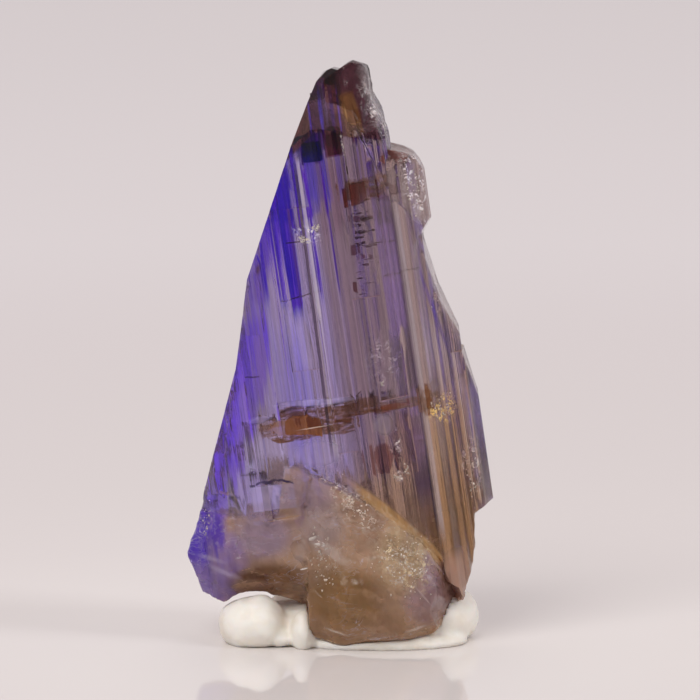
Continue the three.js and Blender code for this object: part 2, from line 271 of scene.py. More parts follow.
def root_share(tree: Tree, own: Source, fade: float = 0.3) -> Source:
    """Adds the nodes that tell the broken root, below the break line, from the grown faces above it.

    Args:
        tree: the material's node tree.
        own: the place in the crystal's own axes.
        fade: how far below the line the root is at its full strength, in millimetres.

    Returns:
        0 above the break line and 1 in the root.
    """
    reach, top, start = 6.0, 10.0, 0.2
    parts = add(tree, "SeparateXYZ", Vector=own).outputs
    ramp = add(tree, "ValToRGB", i0=add(tree, "MapRange", Value=parts["X"], From_Min=-reach, From_Max=reach))
    for _ in BREAK_LINE[2:]:
        ramp.color_ramp.elements.new(0.5)
    for element, (place, height) in zip(ramp.color_ramp.elements, BREAK_LINE):
        element.position = (place + reach) / (2 * reach)
        element.color = (height / top,) * 3 + (1.0,)
    line = add(tree, "Math", "MULTIPLY_ADD", i0=add(tree, "SeparateColor", i0=ramp), i1=top, i2=0.0)
    gap = add(tree, "Math", "SUBTRACT", i0=line, i1=parts["Z"])
    cloud = add(tree, "TexNoise", Vector=own, Scale=2.2, Detail=5.0)
    rough = add(tree, "Math", "MULTIPLY_ADD", i0=cloud, i1=0.5, i2=gap)
    return add(tree, "MapRange", SOFT, Value=rough, From_Min=start, From_Max=start + fade)


# -----------------------------------------------------------------------------------------------------------
# Finishes
# -----------------------------------------------------------------------------------------------------------


@dataclass(frozen=True)
class Patch:
    """A soft-edged ellipsoid of colour in the crystal: its middle, its half sizes and its turn in degrees.

    It is at full strength in its core. A ragged patch is torn in level layers, and a chipped one is made of
    angular chips that thin out to its edge.
    """

    colour: str
    middle: Triple
    half: Triple
    turn: float = 0.0
    core: float = 0.45
    strength: float = 1.0
    square: bool = False
    streaked: bool = True
    ragged: float = 0.0
    chips: float = 0.0

    @property
    def fade(self) -> float:
        """How much of the way in to its middle the patch takes to come up to its strength."""
        return 0.12 if self.ragged else 0.7 if self.chips else 1 - self.core


@dataclass(frozen=True)
class Pane(Patch):
    """A patch with square corners."""

    core: float = 0.8
    square: bool = True


@dataclass(frozen=True)
class Tanzanite:
    """Rough tanzanite, a clear zoisite, grown in blue, lavender, grey and brown zones along its length.

    It is strongly refracting and glossy on its growth faces, and frosted where it broke from the rock.
    """

    name: str = "tanzanite_rough_crystal"
    ior: float = 1.69
    gloss: float = 0.3
    polish: str = "a8a8a8"
    lavender: str = "c4b4ec"
    mauve: str = "a88e9a"
    right: str = "c2aca6"
    brown: str = "caa688"
    violet: str = "9a80cc"
    gold: str = "c8985c"
    cap: str = "4c2018"
    warm: str = "ab9488"
    wisp: str = "e4dcea"
    ledge: str = "a07c60"
    depth_tint: str = "5c3cc0"
    density: float = 45.0
    thickest: float = 0.95
    arch: tuple[float, ...] = (1.7, 0.56, -0.24, 18.66, 18.76)
    # Painted shade: dark blue and wine panes under the arch, for the dark internal reflection of the tip.
    shade_windows: tuple[Patch, ...] = (
        Pane("200450", (1.42, 0, 18.15), (0.5, 9, 0.62), core=0.85),
        Pane("541834", (2.28, 0, 18.18), (0.34, 9, 0.5), core=0.85),
    )
    root_zones: tuple[Patch, ...] = (
        Patch("ac8454", (0.4, -2.5, 1.9), (1.9, 3, 1.7), core=0.5, strength=0.95),
        Patch("c4a2ac", (3.4, -2.5, 1.4), (1.3, 3, 1.3), turn=-30, core=0.5, strength=0.85),
        Patch("805428", (-2.3, -1.5, 2.6), (1.8, 3, 0.9), core=0.5, strength=0.95),
        Patch("d0b48c", (2.9, -3, 3.3), (1.5, 3, 1.9), turn=-25, strength=0.8),
        Patch("cbb8bc", (-0.2, -3, 4.7), (1.2, 3, 1.5), strength=0.6),
        Patch("b4a0bc", (-2.2, -1.5, 4.4), (1.4, 3, 1.2), strength=0.8),
        Patch("b090a8", (3.7, -2.5, 2.6), (0.55, 3, 1.3), turn=-15, strength=0.7),
        Patch("b89eac", (-0.3, -2.6, 5.9), (1.2, 3, 1.2), core=0.4, strength=0.8),
    )
    zones_and_ridge_lights: tuple[Patch, ...] = (
        Pane("3808c8", (0.1, 0, 16.7), (0.78, 9, 1.75), core=0.85),
        Pane("6a50dc", (1.35, 0, 16.7), (0.4, 9, 1.1), core=0.7, strength=0.9),
        Pane("8a5c74", (2.0, 0, 16.2), (0.42, 9, 1.7), core=0.6, strength=0.5),
        Patch("3008c4", (0.25, 0, 14.1), (0.42, 9, 2.5), turn=2, core=0.7),
        Patch("7450d8", (-0.75, 0, 14.2), (0.65, 9, 2.3), turn=-20, core=0.6),
        Patch("845cff", (-2.5, 0, 9.0), (0.9, 9, 5.0), turn=-21.5, core=0.7),
        Patch("5a34d8", (-4.5, 0, 4.6), (0.9, 9, 1.8), turn=-18, core=0.4, strength=0.9),
        Patch("8070ea", (0.0, 0, 9.2), (0.5, 9, 4.2), core=0.5, strength=0.6),
        Patch("dcd0f6", (-1.5, -1, 7.2), (1.0, 9, 1.3), turn=-8, core=0.4, strength=0.85),
        Patch("8c4840", (4.65, -1, 17.3), (0.8, 3, 0.5), core=0.6, strength=0.95),
        Patch("5a3424", (-1.0, -1, 14.05), (0.16, 3, 0.4), turn=-20, core=0.4, streaked=False),
        Patch("a0643c", (0.05, -2.4, 8.22), (1.0, 1.5, 0.5), turn=-3, core=0.7, ragged=0.3),
        Patch("5c2410", (0.15, -2.4, 8.32), (0.5, 1.5, 0.34), core=0.5, ragged=0.4),
        Patch("b08860", (-1.25, -2.2, 8.42), (0.75, 1.5, 0.2), turn=-5, core=0.4, strength=0.8),
        Patch("703c1c", (1.2, -2.5, 8.3), (0.6, 1.5, 0.17), turn=-8, core=0.4),
        Patch("a08070", (1.65, -2.5, 8.62), (0.9, 1.5, 0.15), turn=-6, strength=0.7),
        Patch("8c4c34", (3.1, -2.5, 8.5), (0.75, 1.5, 0.17), turn=-4, core=0.6),
        Patch("6a3414", (4.2, -1.9, 8.45), (0.22, 1.5, 0.8), core=0.5, ragged=0.5),
        Patch("6c3836", (2.4, -2.8, 6.7), (0.7, 1.5, 0.7), ragged=0.3),
        Patch("906458", (3.45, -2.6, 7.3), (0.6, 1.5, 1.4), strength=0.75),
        Patch("c09a58", (4.7, -1.6, 6.8), (0.7, 1.5, 1.5), strength=0.75),
        Patch("bc8e56", (4.5, -1.7, 4.0), (1.1, 2.6, 2.8), core=0.5, strength=0.9),
        Patch("f0e0e0", (5.0, -1, 9.9), (0.7, 3, 2.2), turn=9, strength=0.9),
        Patch("fff6f0", (5.95, 0, 6.5), (0.6, 3, 3.0), core=0.6),
        Pane("4c1410", (2.98, -2.6, 16.3), (0.56, 1.5, 0.42), turn=-6, ragged=0.2),
        Patch("7a3c30", (3.85, -2.1, 16.15), (0.6, 1.5, 0.5), turn=-6, core=0.7, ragged=0.6, strength=0.5),
        Pane("4a2030", (2.87, -2.7, 15.35), (0.13, 1.2, 0.16), ragged=0.2),
        Pane("4a2030", (2.75, -2.7, 14.3), (0.12, 1.2, 0.2), ragged=0.2),
        Pane("5a2838", (2.95, -2.7, 14.0), (0.1, 1.2, 0.1), ragged=0.2),
        Pane("4a1c24", (2.62, -2.7, 12.95), (0.1, 1.2, 0.28), ragged=0.2),
        # painted highlight and painted shade: a light line with a dark line beside it, along each of two
        # ridges
        Pane("d8d0d4", (0.92, -3, 12.4), (0.1, 1.2, 5.9), turn=-1, streaked=False),
        Pane("54445c", (0.76, -3, 12.4), (0.06, 1.2, 5.9), turn=-1, streaked=False),
        Pane("e2dade", (4.17, -2, 9.6), (0.1, 0.9, 6.6), streaked=False),
        Pane("5c4a50", (4.02, -2, 9.6), (0.06, 0.9, 6.6), streaked=False),
        Patch("6a48c8", (5.0, -1.2, 11.4), (0.09, 2, 2.4), turn=11, strength=0.8, streaked=False),
        Pane("38285c", (-1.5, -2.2, 6.27), (1.0, 1.5, 0.07), turn=-6, core=0.3, ragged=0.5),
    )
    cap_streaks_and_sheen: tuple[Patch, ...] = (
        Pane("603444", (3.6, -1.2, 19.4), (1.1, 3, 1.9), turn=10, core=0.5),
        Patch("88503c", (2.25, -1.5, 19.9), (0.55, 3, 1.1), strength=0.8),
        Patch("4f38b0", (2.02, -1.5, 19.3), (0.09, 3, 1.0), strength=0.9),
        Patch("94705c", (2.2, -1.5, 19.7), (0.09, 3, 1.2), strength=0.7),
        Patch("3c1c44", (2.42, -1.5, 19.5), (0.1, 3, 1.4), strength=0.9),
        Patch("5a3cb4", (2.66, -1.5, 19.2), (0.05, 3, 1.2), strength=0.9),
        Patch("5a3cb4", (1.6, -1.5, 19.0), (0.06, 3, 0.9), strength=0.7),
        Pane("8c5c30", (3.06, -1.5, 19.02), (0.33, 3, 0.84), turn=8, core=0.75),
        Patch("4c2430", (3.6, -1.2, 19.9), (0.12, 3, 1.2), turn=15, strength=0.9),
        # painted highlight: silvery streaks on the right of the knob
        Patch("dcd4d8", (4.0, -0.8, 19.3), (0.4, 3, 1.7), turn=14, strength=0.9),
    )
    frosts_and_glints: tuple[Patch, ...] = (
        Patch("4a262c", (3.5, -1.2, 19.5), (0.9, 3, 1.8), turn=10, core=0.6, strength=0.6),
        Patch("8a5e30", (3.08, -1.5, 19.05), (0.4, 1.5, 0.88), turn=10, core=0.6, strength=0.45),
        Patch("5a3418", (3.0, -1.5, 18.6), (0.32, 1.5, 0.05), turn=5, strength=0.6),
        Patch("b48c54", (3.1, -1.5, 18.74), (0.3, 1.5, 0.05), turn=-8, strength=0.6),
        Patch("5a3418", (3.2, -1.5, 19.1), (0.05, 1.5, 0.4), turn=12, strength=0.6),
        Patch("b48c54", (2.9, -1.5, 19.05), (0.05, 1.5, 0.42), turn=6, strength=0.6),
        Pane("641c10", (2.98, -2.6, 16.3), (0.5, 1.2, 0.36), ragged=0.25, strength=0.4),
        Patch("c0aeae", (5.1, -0.5, 15.9), (0.9, 3.5, 1.6), core=0.6, strength=0.5),
        Patch("a89494", (5.45, -0.3, 15.5), (0.5, 3.5, 2.0), core=0.5, strength=0.75),
        Patch("5c2c28", (4.7, -0.5, 17.35), (0.85, 3.5, 0.42), core=0.7, ragged=0.3, strength=0.8),
        # painted highlight along the upper half of the left ridge
        Pane("c0b4c4", (0.96, -3, 15.0), (0.07, 1.2, 3.2), strength=0.6),
        Patch("b4a4a4", (5.45, -0.4, 12.4), (0.45, 3, 2.8), turn=9, core=0.5, strength=0.5),
        Pane("a88e88", (3.9, -2.0, 11.5), (1.1, 1.6, 6.5), core=0.7, strength=0.2),
        Patch("8c5230", (0.05, -2.4, 8.2), (0.9, 1.5, 0.46), turn=-3, core=0.7, ragged=0.3, strength=0.45),
        Patch("c4b8ee", (0.4, -2.6, 9.05), (1.9, 1.2, 0.17), turn=-2, core=0.5, strength=0.5),
        Patch("b8a8e6", (-1.75, -2.2, 8.62), (0.55, 1.2, 0.16), turn=10, core=0.5, strength=0.45),
        Patch("a87048", (-0.85, -2.3, 8.22), (0.9, 1.5, 0.4), turn=-3, core=0.5, ragged=0.3, strength=0.4),
        Patch("6e3010", (0.15, -2.4, 8.3), (0.45, 1.5, 0.3), ragged=0.4, strength=0.5),
        Patch("7c4430", (3.1, -2.5, 8.5), (0.7, 1.5, 0.15), turn=-4, core=0.6, strength=0.45),
        Patch("8a5828", (4.2, -1.9, 8.4), (0.2, 1.5, 0.7), ragged=0.5, strength=0.5),
        Patch("a898b8", (0.2, -2.7, 7.2), (1.2, 1.2, 0.65), strength=0.4),
        Patch("a89ca4", (2.65, -2.8, 7.9), (0.5, 1.2, 0.55), strength=0.45),
        Pane("c8bce8", (-1.65, -2.2, 5.75), (0.85, 1.5, 0.5), core=0.85, strength=0.45),
        Patch("cfa050", (2.25, -2.8, 4.85), (2.7, 0.9, 0.28), turn=-47, core=0.4, strength=0.55),
        Patch("c89848", (3.75, -2.5, 3.0), (1.3, 0.9, 0.24), turn=-62, core=0.4, strength=0.5),
        Patch("b89488", (4.3, -0.8, 1.8), (0.9, 2.6, 1.7), turn=-8, core=0.5, strength=0.7),
        Patch("e4d4cc", (0.2, -2.6, 3.5), (1.1, 1.5, 0.28), turn=-38, core=0.3, strength=0.5),
        Patch("e0d0cc", (-1.0, -2.2, 3.6), (0.3, 1.5, 0.7), turn=-20, core=0.3, strength=0.4),
        Patch("e8d4b4", (2.7, -3.0, 2.95), (1.5, 1.8, 1.9), turn=35, chips=0.7),
        Patch("eee0d4", (1.15, -3.0, 5.1), (0.8, 1.6, 2.0), turn=33, chips=0.6),
        Patch("e6d4c6", (-0.1, -2.4, 3.7), (1.4, 1.6, 1.6), chips=0.4),
        Patch("d8ccec", (-3.9, -1.6, 3.2), (0.9, 1.5, 0.16), turn=-25, core=0.3, strength=0.45),
        Patch("dcd0ec", (-4.3, -1.6, 3.7), (0.8, 1.5, 0.14), turn=-18, core=0.3, strength=0.45),
        Patch("dcd2ec", (-4.3, -1.4, 4.8), (1.1, 1.5, 1.3), turn=20, chips=0.28),
        Patch("f6f0f2", (5.0, -1.4, 16.2), (0.7, 2.0, 1.9), chips=0.9),
        Patch("f0e4dc", (5.5, -0.8, 5.6), (0.5, 1.5, 1.4), chips=0.5),
        Patch("ece2e2", (4.0, -1.0, 19.0), (0.6, 2.0, 1.8), turn=14, chips=0.7),
        # painted highlight: gold glints, laid as chips
        Patch("f2ce84", (4.75, -1.4, 7.95), (0.75, 1.6, 0.75), chips=1.0),
        Patch("f4ecea", (5.35, -0.9, 12.9), (0.4, 1.8, 3.0), turn=9, chips=0.8),
        Patch("e8dee6", (3.0, -2.8, 10.2), (1.0, 1.2, 1.5), chips=0.3),
        Patch("dcc8c8", (3.75, -2.6, 2.6), (0.06, 1.5, 0.8), turn=25, strength=0.5),
        Patch("d8c4c4", (3.45, -2.8, 2.2), (0.05, 1.5, 0.7), turn=28, strength=0.45),
        Patch("e0ccc8", (3.15, -3.0, 1.6), (0.05, 1.5, 0.7), turn=30, strength=0.5),
        # painted highlights: thin light lines along the boss's lower edges
        Patch("efe2d6", (-0.1, -3.0, 0.74), (0.55, 1.5, 0.06), turn=-26, core=0.4, strength=0.7),
        Patch("f2e6dc", (2.75, -3.0, 0.42), (0.5, 1.5, 0.08), turn=5, core=0.4, strength=0.6),
        # painted highlight along a crack in the stain band
        Patch("e8d8c8", (0.2, -2.6, 8.15), (0.85, 1.2, 0.03), turn=4, core=0.3, strength=0.8),
        Patch("e4dada", (3.05, -2.8, 7.25), (0.2, 1.2, 0.6), turn=5, chips=0.8),
        Patch("fff4f0", (2.95, -2.8, 6.0), (0.3, 1.5, 0.28), chips=1.0),
        Patch("f6f0ff", (0.95, -3.0, 15.1), (0.7, 1.5, 0.4), turn=-35, chips=1.0),
    )

    def build(self) -> Finish:
        """Makes the crystal's material.

        Returns:
            The material.
        """
        made, tree = material(self.name)
        own = AXES.node(tree)
        streaked = self.streaked(tree, own)
        root = root_share(tree, own)
        colour = self.ground(tree, own, streaked, root)
        for patch in self.zones_and_ridge_lights:
            colour = self.patched(tree, colour, streaked if patch.streaked else own, patch)
        # painted light and shade of the striae, partly their own tone
        colour = self.painted_column_shade(tree, own, colour, root)
        rough, cover, bump = self.surface(tree, own, root)
        skins = [(self.ledges(tree, own), self.ledge)]
        skins.append((add(tree, "Math", "MULTIPLY", i0=self.wisps(tree, own), i1=root), self.wisp))
        for patch in self.frosts_and_glints:
            share = self.share(tree, streaked if patch.ragged else own, patch)
            skins.append((add(tree, "Math", "MINIMUM", i0=share, i1=self.thickest), patch.colour))
        for share, tone in skins:
            colour = add(tree, "Mix", RGBA, i0=share, i6=colour, i7=linear(tone))
            cover = add(tree, "Math", "MAXIMUM", i0=cover, i1=share)
        shader = add(
            tree,
            "BsdfPrincipled",
            Base_Color=colour,
            Roughness=rough,
            IOR=self.ior,
            Specular_IOR_Level=self.gloss,
            Specular_Tint=linear(self.polish),
            Transmission_Weight=add(tree, "Math", "SUBTRACT", i0=1.0, i1=cover),
            Subsurface_Weight=0.6,
            Subsurface_Scale=0.5 * MM,
            Subsurface_Radius=(1.0, 0.8, 0.7),
            Normal=bump,
        )
        depth = add(tree, "VolumeAbsorption", Color=linear(self.depth_tint), Density=self.density)
        add(tree, "OutputMaterial", Surface=shader, Volume=depth)
        return made

    @staticmethod
    def columns(tree: Tree, own: Source, scale: float, feature: str = "F1") -> bpy.types.Node:
        """Adds columns, so many to a millimetre, that run along the whole crystal, or only their edges."""
        flat = {"voronoi_dimensions": "2D", "feature": feature}
        return add(tree, "TexVoronoi", flat, Vector=own, Scale=scale)

    def streaked(self, tree: Tree, own: Source) -> Source:
        """Shifts places across by columns and a little cloud, so that zones end in upright streaks.

        Args:
            tree: the material's node tree.
            own: the place in the crystal's own axes.

        Returns:
            The shifted place.
        """
        broad = add(tree, "SeparateColor", i0=self.columns(tree, own, 3.0).outputs["Color"])
        fine = add(tree, "SeparateColor", i0=self.columns(tree, own, 8.0).outputs["Color"])
        both = add(tree, "Math", "MULTIPLY_ADD", i0=fine, i1=0.5, i2=broad)
        across = add(tree, "MapRange", Value=both, From_Max=1.5, To_Min=-0.42, To_Max=0.42)
        cloud = add(tree, "TexNoise", Vector=own, Scale=0.8, Detail=3.0).outputs["Color"]
        middle = add(tree, "VectorMath", "SUBTRACT", i0=cloud, i1=(0.5, 0.5, 0.5))
        moved = add(tree, "VectorMath", "MULTIPLY", i0=middle, i1=(0.2, 0.2, 0.9))
        shift = add(tree, "VectorMath", "ADD", i0=add(tree, "CombineXYZ", X=across), i1=moved)
        return add(tree, "VectorMath", "ADD", i0=own, i1=shift)

    def ground(self, tree: Tree, own: Source, place: Source, root: Source) -> Source:
        """Adds the broad zones: lavender, mauve, grey on the right, a mottled root, painted shade windows
        and a brown chisel.

        Args:
            tree: the material's node tree.
            own: the place in the crystal's own axes.
            place: the same place, streaked.
            root: how much a place belongs to the broken root.

        Returns:
            The colour.
        """
        parts = add(tree, "SeparateXYZ", Vector=place).outputs
        centre = add(tree, "MapRange", SOFT, Value=parts["X"], From_Min=0.5, From_Max=1.7)
        rightness = add(tree, "MapRange", SOFT, Value=parts["X"], From_Min=2.6, From_Max=4.2)
        broad = add(tree, "SeparateColor", i0=self.columns(tree, own, 1.7).outputs["Color"]).outputs
        warmth = add(tree, "MapRange", Value=broad[1], From_Min=0.4, To_Max=0.6)
        slope = add(tree, "Math", "MULTIPLY", i0=parts["X"], i1=1.1)
        height = add(tree, "Math", "SUBTRACT", i0=parts["Z"], i1=slope)
        rooted = add(tree, "MapRange", SOFT, Value=height, From_Min=5.5, From_Max=2.2)
        colour = linear(self.lavender)
        tones = (centre, self.mauve), (rightness, self.right), (warmth, self.warm), (rooted, self.brown)
        for share, tone in tones:
            colour = add(tree, "Mix", RGBA, i0=share, i6=colour, i7=linear(tone))
        colour = add(tree, "Mix", RGBA, i0=root, i6=colour, i7=self.mottled(tree, own))
        # lays the painted shade windows under the arch, so that the chisel's edge clips them
        for patch in self.shade_windows:
            colour = self.patched(tree, colour, own, patch)
        middle, fall, tilt, low, high = self.arch
        straight = add(tree, "SeparateXYZ", Vector=own).outputs
        aside = add(tree, "Math", "SUBTRACT", i0=straight["X"], i1=middle)
        away = add(tree, "Math", "ABSOLUTE", i0=aside)
        arch = add(tree, "Math", "MULTIPLY_ADD", i0=away, i1=fall, i2=straight["Z"])
        rise = add(tree, "Math", "MULTIPLY_ADD", i0=aside, i1=tilt, i2=arch)
        cap = add(tree, "MapRange", SOFT, Value=rise, From_Min=low, From_Max=high)
        chisel = linear(self.cap)
        for patch in self.cap_streaks_and_sheen:
            chisel = self.patched(tree, chisel, own, patch)
        return add(tree, "Mix", RGBA, i0=cap, i6=colour, i7=chisel)

    def mottled(self, tree: Tree, own: Source) -> Source:
        """The root's colour: brown, violet to the left and gold at the foot, in soft clouds 1 mm across.

        Args:
            tree: the material's node tree.
            own: the place in the crystal's own axes.

        Returns:
            The colour.
        """
        parts = add(tree, "SeparateXYZ", Vector=own).outputs
        cloud = add(tree, "TexNoise", Vector=own, Scale=0.8, Detail=2.0, Roughness=0.5, Distortion=0.4)
        spread = add(tree, "Math", "MULTIPLY_ADD", i0=cloud, i1=4.0, i2=parts["X"])
        left = add(tree, "MapRange", SOFT, Value=spread, From_Min=-0.6, From_Max=-2.6)
        colour = add(tree, "Mix", RGBA, i0=left, i6=linear(self.brown), i7=linear(self.violet))
        for patch in self.root_zones:
            colour = self.patched(tree, colour, own, patch)
        low = add(tree, "Math", "MULTIPLY_ADD", i0=cloud, i1=2.0, i2=parts["Z"])
        golden = add(tree, "MapRange", SOFT, Value=low, From_Min=3.0, From_Max=1.4, To_Max=0.4)
        return add(tree, "Mix", RGBA, i0=golden, i6=colour, i7=linear(self.gold))

    @staticmethod
    def wisps(tree: Tree, own: Source) -> Source:
        """How much a whitish wisp covers a place: wavy, nearly level lines 0.05 mm thick, 0.4 mm apart.

        Args:
            tree: the material's node tree.
            own: the place in the crystal's own axes.

        Returns:
            The share, from 0 to 0.75.
        """
        flow = add(tree, "VectorMath", "MULTIPLY", i0=own, i1=(0.28, 0.5, 1.0))
        cloud = add(tree, "TexNoise", Vector=flow, Scale=1.5, Detail=3.0, Roughness=0.55, Distortion=0.7)
        middle = add(tree, "Math", "PINGPONG", i0=cloud, i1=0.045)
        line = add(tree, "MapRange", Value=middle, From_Min=0.007, From_Max=0.0, To_Max=0.75)
        gate = add(tree, "TexNoise", Vector=own, Scale=0.9, Detail=2.0)
        here = add(tree, "MapRange", Value=gate, From_Min=0.48, From_Max=0.6)
        return add(tree, "Math", "MULTIPLY", i0=line, i1=here)

    @staticmethod
    def ledges(tree: Tree, own: Source) -> Source:
        """How much a place is the top of a growth step below the tip, etched there to a soft frost.

        Args:
            tree: the material's node tree.
            own: the place in the crystal's own axes.

        Returns:
            The share, from 0 to 0.75.
        """
        turned = {"vector_type": "NORMAL", "convert_from": "WORLD", "convert_to": "OBJECT"}
        way = add(tree, "VectorTransform", turned, Vector=add(tree, "NewGeometry").outputs["True Normal"])
        up = (-math.sin(AXES.lean), 0.0, math.cos(AXES.lean))
        level = add(tree, "Math", "ABSOLUTE", i0=add(tree, "VectorMath", "DOT_PRODUCT", i0=way, i1=up))
        flat = add(tree, "MapRange", Value=level, From_Min=0.6, From_Max=0.75, To_Max=0.75)
        height = add(tree, "SeparateXYZ", Vector=own).outputs["Z"]
        low = add(tree, "MapRange", Value=height, From_Min=17.0, From_Max=16.8)
        return add(tree, "Math", "MULTIPLY", i0=flat, i1=low)

    @staticmethod
    def share(tree: Tree, place: Source, patch: Patch) -> Source:
        """Adds the nodes that say how much of a patch covers a place.

        Args:
            tree: the material's node tree.
            place: the place in the crystal's own axes.
            patch: the patch.

        Returns:
            The share, from 0 to the patch's strength.
        """
        turn = (0, math.radians(-patch.turn), 0)
        shape = {"Location": patch.middle, "Rotation": turn, "Scale": patch.half}
        local = add(tree, "Mapping", {"vector_type": "TEXTURE"}, Vector=place, **shape)
        if patch.square:
            sides = add(tree, "SeparateXYZ", Vector=add(tree, "VectorMath", "ABSOLUTE", i0=local)).outputs
            flat = add(tree, "Math", "MAXIMUM", i0=sides["X"], i1=sides["Z"])
            most = add(tree, "Math", "MAXIMUM", i0=flat, i1=sides["Y"])
            nearness = add(tree, "Math", "SUBTRACT", i0=1.0, i1=most)
        else:
            nearness = add(tree, "TexGradient", {"gradient_type": "SPHERICAL"}, Vector=local).outputs[1]
        if patch.ragged:
            layers = add(tree, "VectorMath", "MULTIPLY", i0=place, i1=(1, 1, 2.6))
            cloud = add(tree, "TexNoise", Vector=layers, Scale=1.7, Detail=6.0, Roughness=0.65)
            torn = add(tree, "MapRange", Value=cloud, From_Min=0.3, From_Max=0.7)
            nearness = add(tree, "Math", "MULTIPLY_ADD", i0=torn, i1=-patch.ragged, i2=nearness)
        share = add(tree, "MapRange", SOFT, Value=nearness, From_Max=patch.fade, To_Max=patch.strength)
        if not patch.chips:
            return share
        bent = add(tree, "TexNoise", Vector=place, Scale=4.0, Detail=3.0).outputs["Color"]
        crooked = add(tree, "VectorMath", "MULTIPLY_ADD", i0=bent, i1=(0.4,) * 3, i2=place)
        for scale in (5.0, 14.0):
            cell = add(tree, "TexVoronoi", Vector=crooked, Scale=scale).outputs["Color"]
            chance = add(tree, "SeparateColor", i0=cell)
            white = add(tree, "MapRange", Value=chance, From_Min=0.25, From_Max=0.9)
            share = add(tree, "Math", "MULTIPLY", i0=share, i1=white)
        return add(tree, "Math", "MULTIPLY", i0=share, i1=1.6 * patch.chips)

    def patched(self, tree: Tree, colour: Value, place: Source, patch: Patch) -> Source:
        """Lays a patch of colour over a colour."""
        return add(tree, "Mix", RGBA, i0=self.share(tree, place, patch), i6=colour, i7=linear(patch.colour))

    def painted_column_shade(self, tree: Tree, own: Source, colour: Source, root: Source) -> Source:
        """Paints light and shade of the striae, partly their own tone, by columns 0.6, 0.25 and 0.09 mm
        wide, with shade on their edges.

        Args:
            tree: the material's node tree.
            own: the place in the crystal's own axes.
            colour: the colour.
            root: how much a place belongs to the broken root, where the lines fade.

        Returns:
            The colour with the painted light and shade.
        """
        height = add(tree, "SeparateXYZ", Vector=own).outputs["Z"]
        low = add(tree, "MapRange", Value=height, From_Min=9.0, From_Max=6.5, To_Max=0.55)
        most = add(tree, "Math", "MAXIMUM", i0=root, i1=low)
        grown = add(tree, "MapRange", Value=most, To_Min=1.0, To_Max=0.15)
        shades = []
        for scale, dark, light in ((1.7, 0.82, 1.12), (4.0, 0.8, 1.1), (11.0, 0.72, 1.14)):
            cell = self.columns(tree, own, scale).outputs["Color"]
            shades.append((add(tree, "SeparateColor", i0=cell), 1.0, dark, light))
        # painted shade lines along the column edges
        shades.append((self.columns(tree, own, 3.0, "DISTANCE_TO_EDGE"), 0.05, 0.62, 1.0))
        for value, high, dark, light in shades:
            shade = add(tree, "MapRange", Value=value, From_Max=high, To_Min=dark, To_Max=light)
            grey = add(tree, "CombineColor", i0=shade, i1=shade, i2=shade)
            colour = add(tree, "Mix", RGBA | {"blend_type": "MULTIPLY"}, i0=grown, i6=colour, i7=grey)
        return colour

    @staticmethod
    def surface(tree: Tree, own: Source, root: Source) -> tuple[Source, Source, Source]:
        """Adds the roughness, the cloudiness and the finest relief.

        Args:
            tree: the material's node tree.
            own: the place in the crystal's own axes.
            root: how much a place belongs to the broken root.

        Returns:
            The roughness, the share of light that a cloudy skin scatters, and the normal.
        """
        parts = add(tree, "SeparateXYZ", Vector=own).outputs
        high = add(tree, "MapRange", SOFT, Value=parts["Z"], From_Min=18.0, From_Max=18.6)
        aside = add(tree, "MapRange", SOFT, Value=parts["X"], From_Min=3.2, From_Max=3.5)
        tip = add(tree, "Math", "MULTIPLY", i0=high, i1=aside)
        broken = add(tree, "Math", "MAXIMUM", i0=root, i1=tip)
        grain = add(tree, "TexNoise", Vector=own, Scale=0.9, Detail=3.0, Roughness=0.45, Distortion=0.4)
        frost = add(tree, "MapRange", Value=grain, From_Min=0.35, From_Max=0.7, To_Min=0.1, To_Max=0.4)
        milk = add(tree, "MapRange", SOFT, Value=grain, From_Min=0.3, From_Max=0.7, To_Min=0.36, To_Max=0.54)
        cloudy = add(tree, "Math", "MULTIPLY", i0=milk, i1=root)
        low = add(tree, "MapRange", SOFT, Value=parts["Z"], From_Min=6.5, From_Max=3.5, To_Max=0.2)
        cover = add(tree, "Math", "MAXIMUM", i0=cloudy, i1=low)
        rough = add(tree, "Mix", i0=broken, i2=0.035, i3=frost)
        drawn = add(tree, "VectorMath", "MULTIPLY", i0=own, i1=(1, 1, 0.01))
        fine = add(tree, "TexNoise", Vector=drawn, Scale=8.0, Detail=3.0, Roughness=0.6)
        pitted = add(tree, "TexNoise", Vector=own, Scale=4.0, Detail=6.0, Roughness=0.6)
        crumbs = add(tree, "TexVoronoi", Vector=own, Scale=5.0).outputs["Distance"]
        pitted = add(tree, "Math", "MULTIPLY_ADD", i0=crumbs, i1=0.8, i2=pitted)
        relief = add(tree, "Mix", i0=broken, i2=fine, i3=pitted)
        return rough, cover, add(tree, "Bump", Strength=0.6, Distance=0.025 * MM, Height=relief)


@dataclass(frozen=True)
class Flaw:
    """The finish of a thin flaw inside the crystal, clouded so that its edge is ragged.

    An iron stain is a rusty clear brown, a healed fracture a whitish veil, and a cavity wall a dark maroon.
    """

    name: str
    colour: str
    shade: str
    cover: float = 1.0
    rough: float = 0.05
    grain: float = 2.5
    clear: float = 0.0
    ior: float = 1.0
    open: tuple[float, float] = (0.36, 0.56)
    rooted: bool = False
    edge: float = 0.04

    def build(self) -> Finish:
        """Makes the flaw's material.

        Returns:
            The material.
        """
        made, tree = material(self.name)
        own = AXES.node(tree)
        cloud = add(tree, "TexNoise", Vector=own, Scale=self.grain, Detail=6.0, Roughness=0.65)
        tone = add(tree, "Mix", RGBA, i0=cloud, i6=linear(self.colour), i7=linear(self.shade))
        low, high = self.open
        spread = {"From_Min": low, "From_Max": high, "To_Min": self.edge, "To_Max": self.cover}
        cover = add(tree, "MapRange", SOFT, Value=cloud, **spread)
        if self.rooted:
            cover = add(tree, "Math", "MULTIPLY", i0=cover, i1=root_share(tree, own, 1.2))
        body = {"Roughness": self.rough, "IOR": self.ior, "Transmission_Weight": self.clear, "Alpha": cover}
        add(tree, "OutputMaterial", Surface=add(tree, "BsdfPrincipled", Base_Color=tone, **body))
        return made


